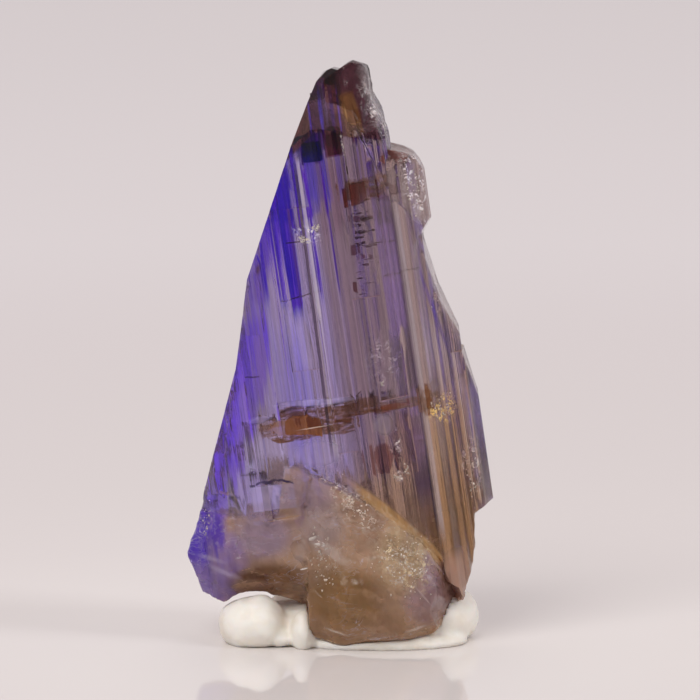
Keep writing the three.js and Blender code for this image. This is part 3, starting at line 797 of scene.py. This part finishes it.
class Flaws(Enum):
    """The kinds of flaw in the crystal, and two clear dark sheets of painted shade."""

    STAIN = Flaw("iron_oxide_stain", "dcb47c", "b47c4c", clear=0.85)
    CRACK = Flaw("stained_hair_crack", "a08068", "6e5448", cover=0.85, clear=0.8, open=(0.4, 0.6))
    VEIL = Flaw("healed_fracture_veil", "fbf6f2", "e6dcd6", cover=0.7, rough=0.5, grain=4.0, ior=1.45)
    CAVITY = Flaw("dark_cavity_wall", "6a3040", "3a1830", cover=0.95, rough=0.3, grain=5.0, clear=0.7)
    # Painted shade: two clear deep blue and wine red sheets darken the view under the tip, for its internal
    # reflection.
    BLUE_SHADE_SHEET = Flaw("deep_blue_painted_shade_sheet", "4420b8", "2c1080", rough=0.0, clear=1.0, open=(0.1, 0.2))
    WINE_SHADE_SHEET = Flaw("wine_red_painted_shade_sheet", "c87088", "a04c68", rough=0.0, clear=1.0, open=(0.1, 0.2))
    MILK = Flaw(
        "milky_root_cloud",
        "fff4ea",
        "e2c8b0",
        cover=0.5,
        rough=0.9,
        grain=1.3,
        ior=1.45,
        open=(0.4, 0.68),
        rooted=True,
    )
    CRUMB = Flaw("frosted_crystal_crumb", "fff8f0", "eee0d0", rough=0.3, grain=4.0, clear=0.3, ior=1.6)


@dataclass(frozen=True)
class Putty:
    """White modelling putty, a soft matte wax: light soaks in a little and its dents stay soft."""

    name: str = "white_modelling_putty"
    colour: str = "fbf6ed"
    dirt: str = "ece3d5"

    def build(self) -> Finish:
        """Makes the putty's material, with kneading marks 1 mm and a grain of 0.1 mm across.

        Returns:
            The material.
        """
        made, tree = material(self.name)
        place = add(tree, "TexCoord").outputs["Object"]
        cloud = add(tree, "TexNoise", Vector=place, Scale=0.9 / MM, Detail=4.0)
        grime = add(tree, "MapRange", Value=cloud, From_Min=0.45, From_Max=0.75)
        grain = add(tree, "TexNoise", Vector=place, Scale=8 / MM, Detail=5.0)
        shader = add(
            tree,
            "BsdfPrincipled",
            Base_Color=add(tree, "Mix", RGBA, i0=grime, i6=linear(self.colour), i7=linear(self.dirt)),
            Roughness=0.55,
            Subsurface_Weight=0.35,
            Subsurface_Scale=0.5 * MM,
            Subsurface_Radius=(1.0, 0.8, 0.6),
            Normal=add(tree, "Bump", Strength=0.35, Distance=0.03 * MM, Height=grain),
        )
        add(tree, "OutputMaterial", Surface=shader)
        return made


# -----------------------------------------------------------------------------------------------------------
# The crystal
# -----------------------------------------------------------------------------------------------------------


@dataclass
class Crystal:
    """The crystal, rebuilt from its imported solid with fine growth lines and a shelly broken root."""

    solid: Thing
    height: float = 22.0
    spacing: tuple[float, float] = (0.045, 0.17)
    row: float = 0.75
    relief: float = 0.016
    grain: float = 0.13
    crisp: float = 1.3
    snap: float = 0.002
    crease: float = 32.0
    root_top: float = 8.0
    back: float = -1.0
    steep: float = 0.06
    ledge: tuple[float, float] = (0.6, 7.0)
    knob: tuple[float, float] = (2.95, 17.9)
    shoulder: tuple[float, float] = (4.3, 16.5)
    crushed: tuple[tuple[float, float], ...] = ((2.8, 3.3), (0.8, 5.0))
    seed: int = 7
    lines: dict[str, tuple[list[float], list[float]]] = field(default_factory=dict)

    def build(self) -> Thing:
        """Makes the crystal, dressed and riding on the object's body.

        Returns:
            The crystal.
        """
        rng = random.Random(self.seed)
        for axis, reach in (("across", 6.2), ("deep", 3.6)):
            self.lines[axis] = self.ruled(rng, reach)
        mesh = bmesh.new()
        mesh.from_mesh(self.solid.data)
        bmesh.ops.remove_doubles(mesh, verts=mesh.verts, dist=MERGE)
        bmesh.ops.dissolve_limit(mesh, angle_limit=math.radians(0.8), verts=mesh.verts, edges=mesh.edges)
        self.cut(mesh)
        self.refine(mesh)
        self.raise_relief(mesh)
        return self.finished(mesh)

    def ruled(self, rng: random.Random, reach: float) -> tuple[list[float], list[float]]:
        """Draws growth lines at random.

        Args:
            rng: the source of chance.
            reach: how far the lines go to either side of the axis.

        Returns:
            Where the lines are, and how high each stands, from -1 to 1.
        """
        bold, share, faint = 1.0, 0.3, 0.45
        places, heights = [-reach], [0.0]
        while places[-1] < reach:
            places.append(places[-1] + rng.uniform(*self.spacing))
            heights.append(rng.uniform(-1, 1) * (bold if rng.random() < share else faint))
        return places, heights

    def face_broken(self, face: bmesh.types.BMFace) -> bool:
        """Whether a face of the mesh is a fracture or frosted tip, and not a grown face.

        Args:
            face: the face.

        Returns:
            True for a broken or frosted face.
        """
        u, v, w = AXES.own(face.calc_center_median())
        if w < self.root_top:
            under = w < float(np.interp(u, *zip(*BREAK_LINE)))
            return abs(AXES.turned(face.normal).z) > self.steep and (under or v > self.back)
        return any(u > side and w > low for side, low in (self.knob, self.shoulder))

    def cut(self, mesh: Draft) -> None:
        """Cuts the grown faces along the growth lines, and across them in rows.

        Args:
            mesh: the crystal's mesh.
        """
        turn = Matrix.Rotation(-AXES.lean, 3, "Y")
        planes = [(turn @ Vector((1, 0, 0)), (place, 0, 0)) for place in self.lines["across"][0]]
        planes += [(Vector((0, 1, 0)), (0, place, 0)) for place in self.lines["deep"][0]]
        rows = range(1, int(self.height / self.row))
        planes += [(turn @ Vector((0, 0, 1)), (0, 0, i * self.row)) for i in rows]
        for normal, place in planes:
            faces = [face for face in mesh.faces if not self.face_broken(face)]
            edges = {edge for face in faces for edge in face.edges}
            verts = {vert for edge in edges for vert in edge.verts}
            geometry = [*verts, *edges, *faces]
            point = AXES.world(place)
            bmesh.ops.bisect_plane(mesh, geom=geometry, plane_co=point, plane_no=normal, dist=self.snap * MM)

    def refine(self, mesh: Draft) -> None:
        """Splits the broken faces until their edges are as short as the grain.

        Args:
            mesh: the crystal's mesh.
        """
        limit = 1.5 * self.grain * MM
        for _ in range(6):
            rough = [face for face in mesh.faces if self.face_broken(face)]
            bmesh.ops.triangulate(mesh, faces=[face for face in rough if len(face.verts) > 3])
            rough = [face for face in mesh.faces if self.face_broken(face)]
            long = {edge for face in rough for edge in face.edges if edge.calc_length() > limit}
            if not long:
                return
            bmesh.ops.subdivide_edges(mesh, edges=list(long), cuts=1)

    def raise_relief(self, mesh: Draft) -> None:
        """Moves the vertices: lines on the grown faces, and scoops and crumbs on the broken ones.

        Args:
            mesh: the crystal's mesh.
        """
        flags = {face: self.face_broken(face) for face in mesh.faces}
        inner = [vert for vert in mesh.verts if all(flags[face] for face in vert.link_faces)]
        soften(mesh, [vert for vert in inner if AXES.own(vert.co).z > self.crisp], 3)
        mesh.normal_update()
        inner = set(inner)
        moves = []
        for vert in mesh.verts:
            place = AXES.own(vert.co)
            if vert in inner:
                move = vert.normal * self.scooped(place)
            else:
                move = self.line_move(place, AXES.turned(vert.normal))
            moves.append((vert, move * MM))
        for vert, move in moves:
            vert.co += move

    def line_move(self, place: Vector, normal: Vector) -> Vector:
        """How far a point of a grown face moves for its growth lines, square to the crystal's axis.

        Args:
            place: the point in the crystal's own axes.
            normal: the surface's normal there, in the same axes.

        Returns:
            The move in millimetres, in the row's frame.
        """
        u, v, w = place
        level = Vector((normal.x, normal.y, 0))
        if level.length < 0.2:
            return Vector((0, 0, 0))
        level.normalize()
        steady, swing, quick, slow = 0.6, 0.55, 1.3, 0.25
        along = steady + swing * noise.noise(Vector((u * quick, v * quick, w * slow)))
        front = abs(level.y) * float(np.interp(u, *self.lines["across"]))
        side = abs(level.x) * float(np.interp(v, *self.lines["deep"]))
        steep = 1 - 0.8 * smooth(abs(normal.z), 0.45, 0.6)
        way = AXES.world(level) - AXES.world((0, 0, 0))
        return way.normalized() * self.relief * along * (front + side) * steep

    def scooped(self, place: Vector) -> float:
        """How far a broken face stands out by its scoops and crumbs, in millimetres.

        Args:
            place: the point in the crystal's own axes.

        Returns:
            The height, which is below 0 in a scoop.
        """
        u, v, w = place
        tip = smooth(w, 12, 14)
        cells = ((1.5, 1.1, (3, 0, 0)), (0.42, 0.34, (0, 5, 0)), (0.17, 0.17, (0, 0, 9)))
        spots = [Vector((u / flat + x, v / flat + y, w / tall + z)) for flat, tall, (x, y, z) in cells]
        wide, small, crumb = (noise.voronoi(spot)[0][0] for spot in spots)
        crumbly = smooth(noise.noise(Vector((u * 0.7, v * 0.7, w * 0.7 + 4))), -0.1, 0.35)
        near, far = 0.4, 1.1
        front = v < self.back
        crushed = sum(1 - smooth(math.dist((u, w), spot), near, far) for spot in self.crushed if front)
        root = 0.17 * wide**2 + 0.05 * small**2 + (0.035 * crumbly + 0.09 * crushed) * crumb
        return (root - 0.06) * (1 - 0.6 * tip)

    @staticmethod
    def unstack(mesh: Draft) -> None:
        """Drops the faces that lie on one another in pairs, which splitting the broken faces can leave.

        Args:
            mesh: the crystal's mesh.
        """
        stacks: dict[frozenset, list[bmesh.types.BMFace]] = {}
        for face in mesh.faces:
            stacks.setdefault(frozenset(face.verts), []).append(face)
        spare = [face for stack in stacks.values() if len(stack) > 1 for face in stack[len(stack) % 2 :]]
        bmesh.ops.delete(mesh, geom=spare, context="FACES")

    def finished(self, mesh: Draft) -> Thing:
        """Turns the mesh into the crystal's piece, with its edges sharp and its upper ledges flat.

        Args:
            mesh: the crystal's mesh, which is freed.

        Returns:
            The crystal.
        """
        self.unstack(mesh)
        mesh.normal_update()
        bmesh.ops.recalc_face_normals(mesh, faces=mesh.faces)
        LOG.info("crystal: %d open edges", sum(len(edge.link_faces) != 2 for edge in mesh.edges))
        data = mesh_data("tanzanite_crystal", mesh)
        data.set_sharp_from_angle(angle=math.radians(self.crease))
        level, low = self.ledge
        for polygon in data.polygons:
            if abs(AXES.turned(polygon.normal).z) > level and AXES.own(polygon.center).z > low:
                polygon.use_smooth = False
        return piece("tanzanite_crystal", data, Tanzanite().build(), "crystal")


# -----------------------------------------------------------------------------------------------------------
# Flaws inside the crystal
# -----------------------------------------------------------------------------------------------------------


@dataclass(frozen=True)
class Film:
    """A thin ragged sheet inside the crystal, its middle and half sizes in the crystal's own axes."""

    kind: Flaws
    middle: Triple
    half: tuple[float, float]
    pitch: float = 8.0
    roll: float = 0.0
    ragged: float = 0.35
    square: float = 0.0
    spokes: int = 36
    rings: int = 5
    thickness: float = 0.014
    rim: float = 0.2
    wave: float = 0.06
    margin: float = 0.93

    def build(self, mesh: Draft, tree: BVHTree, seed: int) -> None:
        """Adds the film to a mesh as a closed skin, and keeps it inside the crystal.

        Args:
            mesh: the mesh that takes the film.
            tree: the crystal's surface.
            seed: picks the film's outline and waves.
        """
        pitch, roll = math.radians(self.pitch), math.radians(self.roll)
        turn = Matrix.Rotation(pitch, 3, "X") @ Matrix.Rotation(roll, 3, "Y")
        middle = Vector(self.middle)
        sides = []
        for side in (-1, 1):
            hub = mesh.verts.new(AXES.world(middle + turn @ Vector((0, 0, side * self.thickness / 2))))
            rings = []
            for i in range(1, self.rings + 1):
                ring = []
                for j in range(self.spokes):
                    angle = math.tau * j / self.spokes
                    bulge = max(abs(math.cos(angle)), abs(math.sin(angle))) ** -self.square
                    way = Vector((math.cos(angle) * self.half[0], math.sin(angle) * self.half[1], 0)) * bulge
                    way = turn @ way
                    spot = middle + way * self.edge(tree, middle, way, angle, seed) * i / self.rings
                    wave = self.wave * noise.noise(Vector((spot.x * 1.6, spot.y * 1.6, seed * 3.1)))
                    thin = side * self.thickness / 2 * (1 if i < self.rings else self.rim)
                    ring.append(mesh.verts.new(AXES.world(spot + turn @ Vector((0, 0, wave + thin)))))
                rings.append(ring)
            sides.append((hub, rings))
        self.skin(mesh, sides)

    def edge(self, tree: BVHTree, middle: Vector, way: Vector, angle: float, seed: int) -> float:
        """How far the film reaches one way, as a share of its half size.

        Args:
            tree: the crystal's surface.
            middle: the film's middle in the crystal's own axes.
            way: the way out, as long as the half size.
            angle: the way's turn in the film.
            seed: picks the outline.

        Returns:
            The share.
        """
        spot = Vector((math.cos(angle) * 1.7, math.sin(angle) * 1.7, seed * 1.7))
        share = 1 + self.ragged * noise.fractal(spot, 1.0, 2.0, 4)
        start = AXES.world(middle)
        line = AXES.world(middle + way) - start
        hit = tree.ray_cast(start, line.normalized())
        return share if hit[0] is None else min(share, self.margin * hit[3] / line.length)

    def skin(self, mesh: Draft, sides: list) -> None:
        """Closes the film's two sides over their rings and at the rim.

        Args:
            mesh: the mesh that takes the film.
            sides: for each side, its middle vertex and its rings of vertices.
        """
        steps = [(j, (j + 1) % self.spokes) for j in range(self.spokes)]
        for sign, (hub, rings) in zip((-1, 1), sides):
            for j, k in steps:
                self.face(mesh, sign, (hub, rings[0][j], rings[0][k]))
                for inner, outer in zip(rings, rings[1:]):
                    self.face(mesh, sign, (inner[j], outer[j], outer[k], inner[k]))
        low, high = (rings[-1] for _, rings in sides)
        for j, k in steps:
            self.face(mesh, 1, (low[j], low[k], high[k], high[j]))

    @staticmethod
    def face(mesh: Draft, sign: int, corners: tuple) -> None:
        """Adds one face, turned outward."""
        mesh.faces.new(corners if sign > 0 else corners[::-1]).smooth = True


@dataclass
class Inclusions:
    """Everything that lies inside the crystal, joined in one piece for each kind."""

    crystal: Thing
    films: tuple[Film, ...] = (
        Film(Flaws.STAIN, (0.15, -0.5, 8.1), (1.6, 2.0), pitch=10, roll=-3, square=0.7),
        Film(Flaws.STAIN, (1.95, -0.9, 8.5), (0.75, 1.5), pitch=7, square=0.8),
        Film(Flaws.STAIN, (3.3, -0.9, 8.35), (0.75, 1.2), pitch=3, square=0.8),
        Film(Flaws.STAIN, (3.05, -1.2, 16.3), (0.8, 1.2), pitch=14, square=0.9),
        Film(Flaws.STAIN, (4.2, -0.9, 8.3), (0.22, 0.5), pitch=60),
        Film(Flaws.CRACK, (0.35, -1.6, 12.82), (0.6, 0.8), pitch=-5, roll=-11, ragged=0.15),
        Film(Flaws.CRACK, (3.7, -1.2, 13.1), (0.65, 0.8), pitch=-5, roll=-3, ragged=0.15),
        Film(Flaws.CRACK, (0.5, -1.8, 14.8), (0.3, 0.6), pitch=-4, ragged=0.15),
        Film(Flaws.CRACK, (3.2, -1.4, 14.3), (0.6, 0.7), pitch=-5, roll=3, ragged=0.15),
        Film(Flaws.CRACK, (-1.7, -1.2, 10.1), (0.35, 0.6), pitch=-5, roll=3, ragged=0.15),
        # painted shade: two dark sheets under the arch, behind the shade windows
        Film(Flaws.BLUE_SHADE_SHEET, (1.45, -2.2, 17.95), (0.38, 0.36), pitch=88, ragged=0.1, square=0.8),
        Film(Flaws.WINE_SHADE_SHEET, (2.28, -2.1, 18.1), (0.26, 0.38), pitch=88, ragged=0.1, square=0.8),
    )
    ladder_foot: Triple = (2.6, -1.6, 12.4)
    ladder_top: Triple = (2.95, -1.6, 15.5)
    rungs: int = 16
    veils: tuple[tuple[Triple, Triple, int], ...] = (
        ((2.6, -2.2, 3.2), (1.0, 0.5, 0.8), 26),
        ((0.4, -2.2, 4.6), (0.7, 0.4, 0.9), 14),
        ((0.3, -2.0, 2.9), (0.8, 0.4, 0.6), 14),
        ((-1.6, -1.4, 4.9), (0.8, 0.3, 0.4), 8),
    )
    seed: int = 11

    def build(self) -> None:
        """Makes one piece for each kind of flaw."""
        tree = surface_of(self.crystal)
        rng = random.Random(self.seed)
        films = [*self.films, *self.ladder(rng), *self.healed(rng)]
        for kind in dict.fromkeys(film.kind for film in films):
            mesh = bmesh.new()
            for seed, film in enumerate(films):
                if film.kind is kind:
                    film.build(mesh, tree, seed)
            flaw = kind.value
            piece(flaw.name, mesh_data(flaw.name, mesh), flaw.build())

    def ladder(self, rng: random.Random) -> list[Film]:
        """A column of tiny dark cavities, one above another.

        Args:
            rng: the source of chance.

        Returns:
            The cavities.
        """
        foot, top = Vector(self.ladder_foot), Vector(self.ladder_top)
        rungs = []
        for i in range(self.rungs):
            spot = foot.lerp(top, (i + rng.uniform(-0.3, 0.3)) / (self.rungs - 1))
            spot.x += rng.uniform(-0.18, 0.18)
            half = (rng.uniform(0.06, 0.22), rng.uniform(0.1, 0.25))
            pitch = rng.uniform(-30, 10)
            rungs.append(Film(Flaws.CAVITY, tuple(spot), half, pitch=pitch, spokes=12, rings=2))
        return rungs

    def healed(self, rng: random.Random) -> list[Film]:
        """Whitish healed fractures in the root.

        Args:
            rng: the source of chance.

        Returns:
            The veils.
        """
        healed = []
        for middle, spread, count in self.veils:
            for _ in range(count):
                spot = tuple(m + rng.gauss(0, s) * 0.6 for m, s in zip(middle, spread))
                half = (rng.uniform(0.08, 0.35), rng.uniform(0.06, 0.2))
                pitch, roll = rng.uniform(-80, 80), rng.uniform(-60, 60)
                healed.append(Film(Flaws.VEIL, spot, half, pitch=pitch, roll=roll, spokes=12, rings=2))
        return healed


@dataclass
class RootClouds:
    """A milky skin that lies under the broken surface of the root."""

    solid: Thing
    depth: float = 0.5
    top: float = 7.0
    grain: float = 0.4

    def build(self) -> Thing:
        """Makes the clouds.

        Returns:
            The clouds.
        """
        mesh = bmesh.new()
        mesh.from_mesh(self.solid.data)
        bmesh.ops.remove_doubles(mesh, verts=mesh.verts, dist=MERGE)
        bmesh.ops.dissolve_limit(mesh, angle_limit=math.radians(3), verts=mesh.verts, edges=mesh.edges)
        upright = Matrix.Rotation(-AXES.lean, 3, "Y") @ Vector((0, 0, 1))
        geometry = [*mesh.verts, *mesh.edges, *mesh.faces]
        point = AXES.world((0, 0, self.top))
        bmesh.ops.bisect_plane(mesh, geom=geometry, plane_co=point, plane_no=upright, clear_outer=True)
        bmesh.ops.triangulate(mesh, faces=mesh.faces)
        for _ in range(5):
            long = [edge for edge in mesh.edges if edge.calc_length() > 1.5 * self.grain * MM]
            if not long:
                break
            bmesh.ops.subdivide_edges(mesh, edges=long, cuts=1)
            bmesh.ops.triangulate(mesh, faces=[face for face in mesh.faces if len(face.verts) > 3])
        soften(mesh, [vert for vert in mesh.verts if not vert.is_boundary], 5)
        mesh.normal_update()
        places = [vert.co - vert.normal * self.depth * MM for vert in mesh.verts]
        for vert, place in zip(mesh.verts, places):
            vert.co = place
        data = mesh_data("milky_root_clouds", mesh)
        data.shade_smooth()
        return piece("milky_root_clouds", data, Flaws.MILK.value.build())


@dataclass(frozen=True)
class Drift:
    """A patch of surface where crumbs cling: its middle and spread across and along, and how many."""

    across: float
    along: float
    spread: tuple[float, float]
    count: int
    turn: float = 0.0
    front: bool = True


@dataclass
class Crumbs:
    """Frosted crumbs that cling to the crystal, each an angular chip half sunk in its surface."""

    crystal: Thing
    size: tuple[float, float] = (0.015, 0.05)
    seed: int = 5
    drifts: tuple[Drift, ...] = (
        Drift(1.2, 5.15, (0.22, 0.8), 90, turn=32),
        Drift(2.7, 2.9, (0.6, 0.75), 260, turn=35),
        Drift(-0.2, 3.3, (0.3, 0.7), 60),
        Drift(-4.3, 4.9, (0.15, 0.4), 24, turn=-20),
        Drift(0.75, 14.95, (0.16, 0.1), 30),
        Drift(1.25, 15.3, (0.14, 0.1), 26),
        Drift(2.8, 9.4, (0.05, 0.1), 7),
        Drift(2.85, 5.95, (0.12, 0.1), 14),
        Drift(3.2, 6.15, (0.08, 0.1), 9),
        Drift(5.45, 5.0, (0.1, 0.4), 12),
        Drift(4.75, 7.95, (0.3, 0.3), 30),
        Drift(5.25, 13.0, (0.1, 1.3), 34, turn=-9),
        Drift(4.95, 16.2, (0.25, 0.7), 44),
        Drift(2.62, 18.1, (0.03, 0.35), 14),
        Drift(0.0, 3.0, (3.2, 1.6), 120, front=False),
    )
    reach: float = 8.0
    sink: float = 0.25
    jag: float = 0.22

    def build(self) -> Thing:
        """Makes the crumbs as one piece.

        Returns:
            The crumbs.
        """
        tree = surface_of(self.crystal)
        rng = random.Random(self.seed)
        mesh = bmesh.new()
        for drift in self.drifts:
            for _ in range(drift.count):
                self.chip(mesh, tree, rng, drift)
        data = mesh_data("frosted_crumbs", mesh)
        return piece("frosted_crumbs", data, Flaws.CRUMB.value.build())

    def chip(self, mesh: Draft, tree: BVHTree, rng: random.Random, drift: Drift) -> None:
        """Sets one chip on the surface, where a level line from the front or back meets it.

        Args:
            mesh: the mesh that takes the chip.
            tree: the crystal's surface.
            rng: the source of chance.
            drift: the patch that the chip belongs to.
        """
        turn = Matrix.Rotation(math.radians(drift.turn), 2)
        aside = turn @ Vector((rng.gauss(0, drift.spread[0]), rng.gauss(0, drift.spread[1]))) * 0.7
        side = -1 if drift.front else 1
        start = AXES.world((drift.across + aside.x, side * self.reach, drift.along + aside.y))
        hit = tree.ray_cast(start, Vector((0, -side, 0)))
        if hit[0] is None:
            return
        size = rng.uniform(*self.size) * MM
        spin = Matrix.Rotation(rng.uniform(0, math.tau), 4, Vector((rng.gauss(0, 1), rng.gauss(0, 1), 1)))
        shape = Matrix.Diagonal((1, rng.uniform(0.4, 1), rng.uniform(0.5, 1.6), 1))
        place = Matrix.Translation(hit[0] - hit[1] * size * self.sink) @ spin @ shape
        made = bmesh.ops.create_icosphere(mesh, subdivisions=1, radius=size, matrix=place)
        for vert in made["verts"]:
            vert.co += Vector((rng.gauss(0, 1), rng.gauss(0, 1), rng.gauss(0, 1))) * size * self.jag


# -----------------------------------------------------------------------------------------------------------
# The putty
# -----------------------------------------------------------------------------------------------------------


@dataclass
class PuttyPad:
    """The kneaded putty that holds the crystal: lumps run together, flat underneath and dented by the stone.

    Each lump is its middle and its half sizes.
    """

    crystal: Thing
    lumps: tuple[tuple[Triple, Triple], ...] = (
        ((0.3, 0.3, 0.3), (4.6, 2.4, 1.05)),
        ((1.4, -1.1, 0.12), (3.2, 1.7, 0.5)),
        ((-3.3, -1.0, 0.64), (1.12, 1.45, 0.98)),
        ((-2.93, -1.05, 0.7), (0.96, 1.5, 1.02)),
        ((-2.2, -1.1, 0.25), (0.6, 1.2, 0.45)),
        ((-1.36, -1.85, 0.5), (0.42, 0.9, 0.84)),
        ((3.55, 0.2, 0.75), (1.45, 1.9, 1.1)),
        ((0.4, 2.1, 0.6), (3.2, 1.1, 1.15)),
    )
    voxel: float = 0.11
    gap: float = 0.03
    dent: float = 0.075

    def build(self) -> Thing:
        """Makes the putty, dressed and riding on the object's body.

        Returns:
            The putty.
        """
        mesh = bmesh.new()
        for middle, half in self.lumps:
            shape = Matrix.Translation(Vector(middle) * MM) @ Matrix.Diagonal((*(Vector(half) * MM), 1))
            bmesh.ops.create_icosphere(mesh, subdivisions=5, radius=1, matrix=shape)
        lumps = placed("lumps", mesh_data("putty", mesh))
        for kind, settings in (
            ("REMESH", {"mode": "VOXEL", "voxel_size": self.voxel * MM}),
            ("SMOOTH", {"factor": 0.5, "iterations": 4}),
        ):
            modifier = lumps.modifiers.new(kind.title(), kind)
            for name, value in settings.items():
                setattr(modifier, name, value)
        graph = bpy.context.evaluated_depsgraph_get()
        shaped = bpy.data.meshes.new_from_object(lumps.evaluated_get(graph))
        bpy.data.objects.remove(lumps)
        self.press(shaped)
        shaped.shade_smooth()
        return piece("kneaded_putty", shaped, Putty().build(), "putty_pad")

    def press(self, shaped: bpy.types.Mesh) -> None:
        """Dents the putty, presses it down under the crystal and flattens it on the floor.

        Args:
            shaped: the putty's mesh.
        """
        tree = surface_of(self.crystal)
        for vert in shaped.vertices:
            place = vert.co / MM
            wave = noise.noise(place * 0.9) * self.dent + noise.noise(place * 2.6) * self.dent * 0.6
            vert.co += vert.normal * wave * MM
            vert.co.z = max(vert.co.z, 0.0)
            hit = tree.ray_cast(Vector((vert.co.x, vert.co.y, -MM)), Vector((0, 0, 1)))
            if hit[0] is not None:
                vert.co.z = max(0.0, min(vert.co.z, hit[0].z - self.gap * MM))


# -----------------------------------------------------------------------------------------------------------
# The studio
# -----------------------------------------------------------------------------------------------------------


@dataclass(frozen=True)
class Softbox:
    """A soft light: where it stands round the object, how big it is and how bright."""

    azimuth: float
    elevation: float
    distance: float
    size: tuple[float, float]
    power: float
    colour: str = "ffffff"


@dataclass
class Studio:
    """A pale glossy floor with painted light round the object, under plain soft light, and the camera."""

    target: Triple = (0.3205, 0.0, 10.5)
    elevation: float = 9.0
    distance: float = 300.0
    field: float = 25.2
    sensor: float = 36.0
    floor: float = 4000.0
    # painted light and shade on the floor by distance from the object, 1 standing for 0.1 m
    floor_light_tones: tuple[tuple[float, str], ...] = (
        (0.0, "e6e1df"),
        (0.12, "e2dddb"),
        (0.2, "dcd6d5"),
        (0.35, "d9d3d2"),
        (0.72, "d9d2d3"),
        (1.0, "e2dddf"),
    )
    front: str = "928a8c"
    back: str = "e3dadb"
    glow: float = 0.8
    softboxes: tuple[Softbox, ...] = (
        Softbox(-35, 50, 600, (350, 350), 2.2, "fffdfa"),
        Softbox(70, 35, 600, (140, 460), 1.05),
        Softbox(180, 55, 700, (500, 280), 0.65, "fffaf6"),
    )

    def build(self) -> None:
        """Makes the floor, the light and the camera."""
        self.lay_floor()
        self.light_room()
        for number, box in enumerate(self.softboxes):
            self.light(f"softbox_{number}", box)
        self.set_camera()

    def lay_floor(self) -> None:
        """Lays the floor: a smooth pale acrylic sheet with painted light, lighter round the object and
        darker further out.
        """
        data = bpy.data.meshes.new("floor")
        half = self.floor * MM / 2
        corners = [(-half, -half, 0), (half, -half, 0), (half, half, 0), (-half, half, 0)]
        data.from_pydata(corners, [], [(0, 1, 2, 3)])
        made, tree = material("pale_acrylic_sheet")
        away = add(tree, "VectorMath", "LENGTH", i0=add(tree, "TexCoord").outputs["Object"])
        ramp = add(tree, "ValToRGB", i0=add(tree, "MapRange", Value=away, From_Max=0.1))
        ramp.color_ramp.interpolation = "B_SPLINE"
        for stop in self.floor_light_tones[1:-1]:
            ramp.color_ramp.elements.new(stop[0])
        for element, (reach, tone) in zip(ramp.color_ramp.elements, self.floor_light_tones):
            element.position = reach
            element.color = linear(tone)
        shader = add(tree, "BsdfPrincipled", Base_Color=ramp, Roughness=0.05, IOR=1.3)
        add(tree, "OutputMaterial", Surface=shader)
        data.materials.append(made)
        placed("floor", data)

    def light_room(self) -> None:
        """Fills the room with pale light, lighter behind the object than in front of it."""
        world = bpy.data.worlds.new("studio")
        bpy.context.scene.world = world
        world.use_nodes = True
        tree = world.node_tree
        tree.nodes.clear()
        parts = add(tree, "SeparateXYZ", Vector=add(tree, "TexCoord").outputs["Generated"]).outputs
        behind = add(tree, "MapRange", SOFT, Value=parts["Y"], From_Min=-0.7, From_Max=0.3)
        tone = add(tree, "Mix", RGBA, i0=behind, i6=linear(self.front), i7=linear(self.back))
        add(tree, "OutputWorld", Surface=add(tree, "Background", Color=tone, Strength=self.glow))

    def light(self, name: str, box: Softbox) -> None:
        """Hangs one soft light, facing the object.

        Args:
            name: the light's name.
            box: the light.
        """
        data = bpy.data.lights.new(name, "AREA")
        data.shape = "RECTANGLE"
        data.size, data.size_y = (side * MM for side in box.size)
        data.energy = box.power
        data.color = linear(box.colour)[:3]
        self.stand(placed(name, data), box.azimuth, box.elevation, box.distance)

    def set_camera(self) -> None:
        """Stands the camera in front of the object, a little above it."""
        data = bpy.data.cameras.new("camera")
        data.sensor_width = self.sensor
        data.lens = self.sensor * self.distance / self.field
        data.clip_start = 0.01
        camera = placed("camera", data)
        self.stand(camera, 0, self.elevation, self.distance)
        bpy.context.scene.camera = camera

    def stand(self, thing: Thing, azimuth: float, elevation: float, distance: float) -> None:
        """Stands a light or the camera round the object, facing its middle.

        Args:
            thing: the light or camera.
            azimuth: how far round it stands, in degrees from the front.
            elevation: how far above level it stands, in degrees.
            distance: how far away it stands.
        """
        turn, up = math.radians(azimuth), math.radians(elevation)
        flat = math.cos(up)
        way = Vector((math.sin(turn) * flat, -math.cos(turn) * flat, math.sin(up)))
        thing.location = Vector(self.target) * MM + way * distance * MM
        thing.rotation_euler = (-way).to_track_quat("-Z", "Y").to_euler()


def main() -> None:
    """Builds the crystal, what lies inside it, the putty and the studio, and sets the view and the light
    bounces.
    """
    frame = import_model()
    crystal = Crystal(frame["nodes"]["crystal"]).build()
    Inclusions(crystal).build()
    RootClouds(frame["nodes"]["crystal"]).build()
    Crumbs(crystal).build()
    PuttyPad(crystal).build()
    Studio().build()
    scene = bpy.context.scene
    scene.view_settings.view_transform = "Standard"
    scene.cycles.max_bounces = 14
    scene.cycles.transmission_bounces = 14
    scene.cycles.transparent_max_bounces = 20


if __name__ == "__main__":
    logging.basicConfig(level=logging.INFO)
    main()
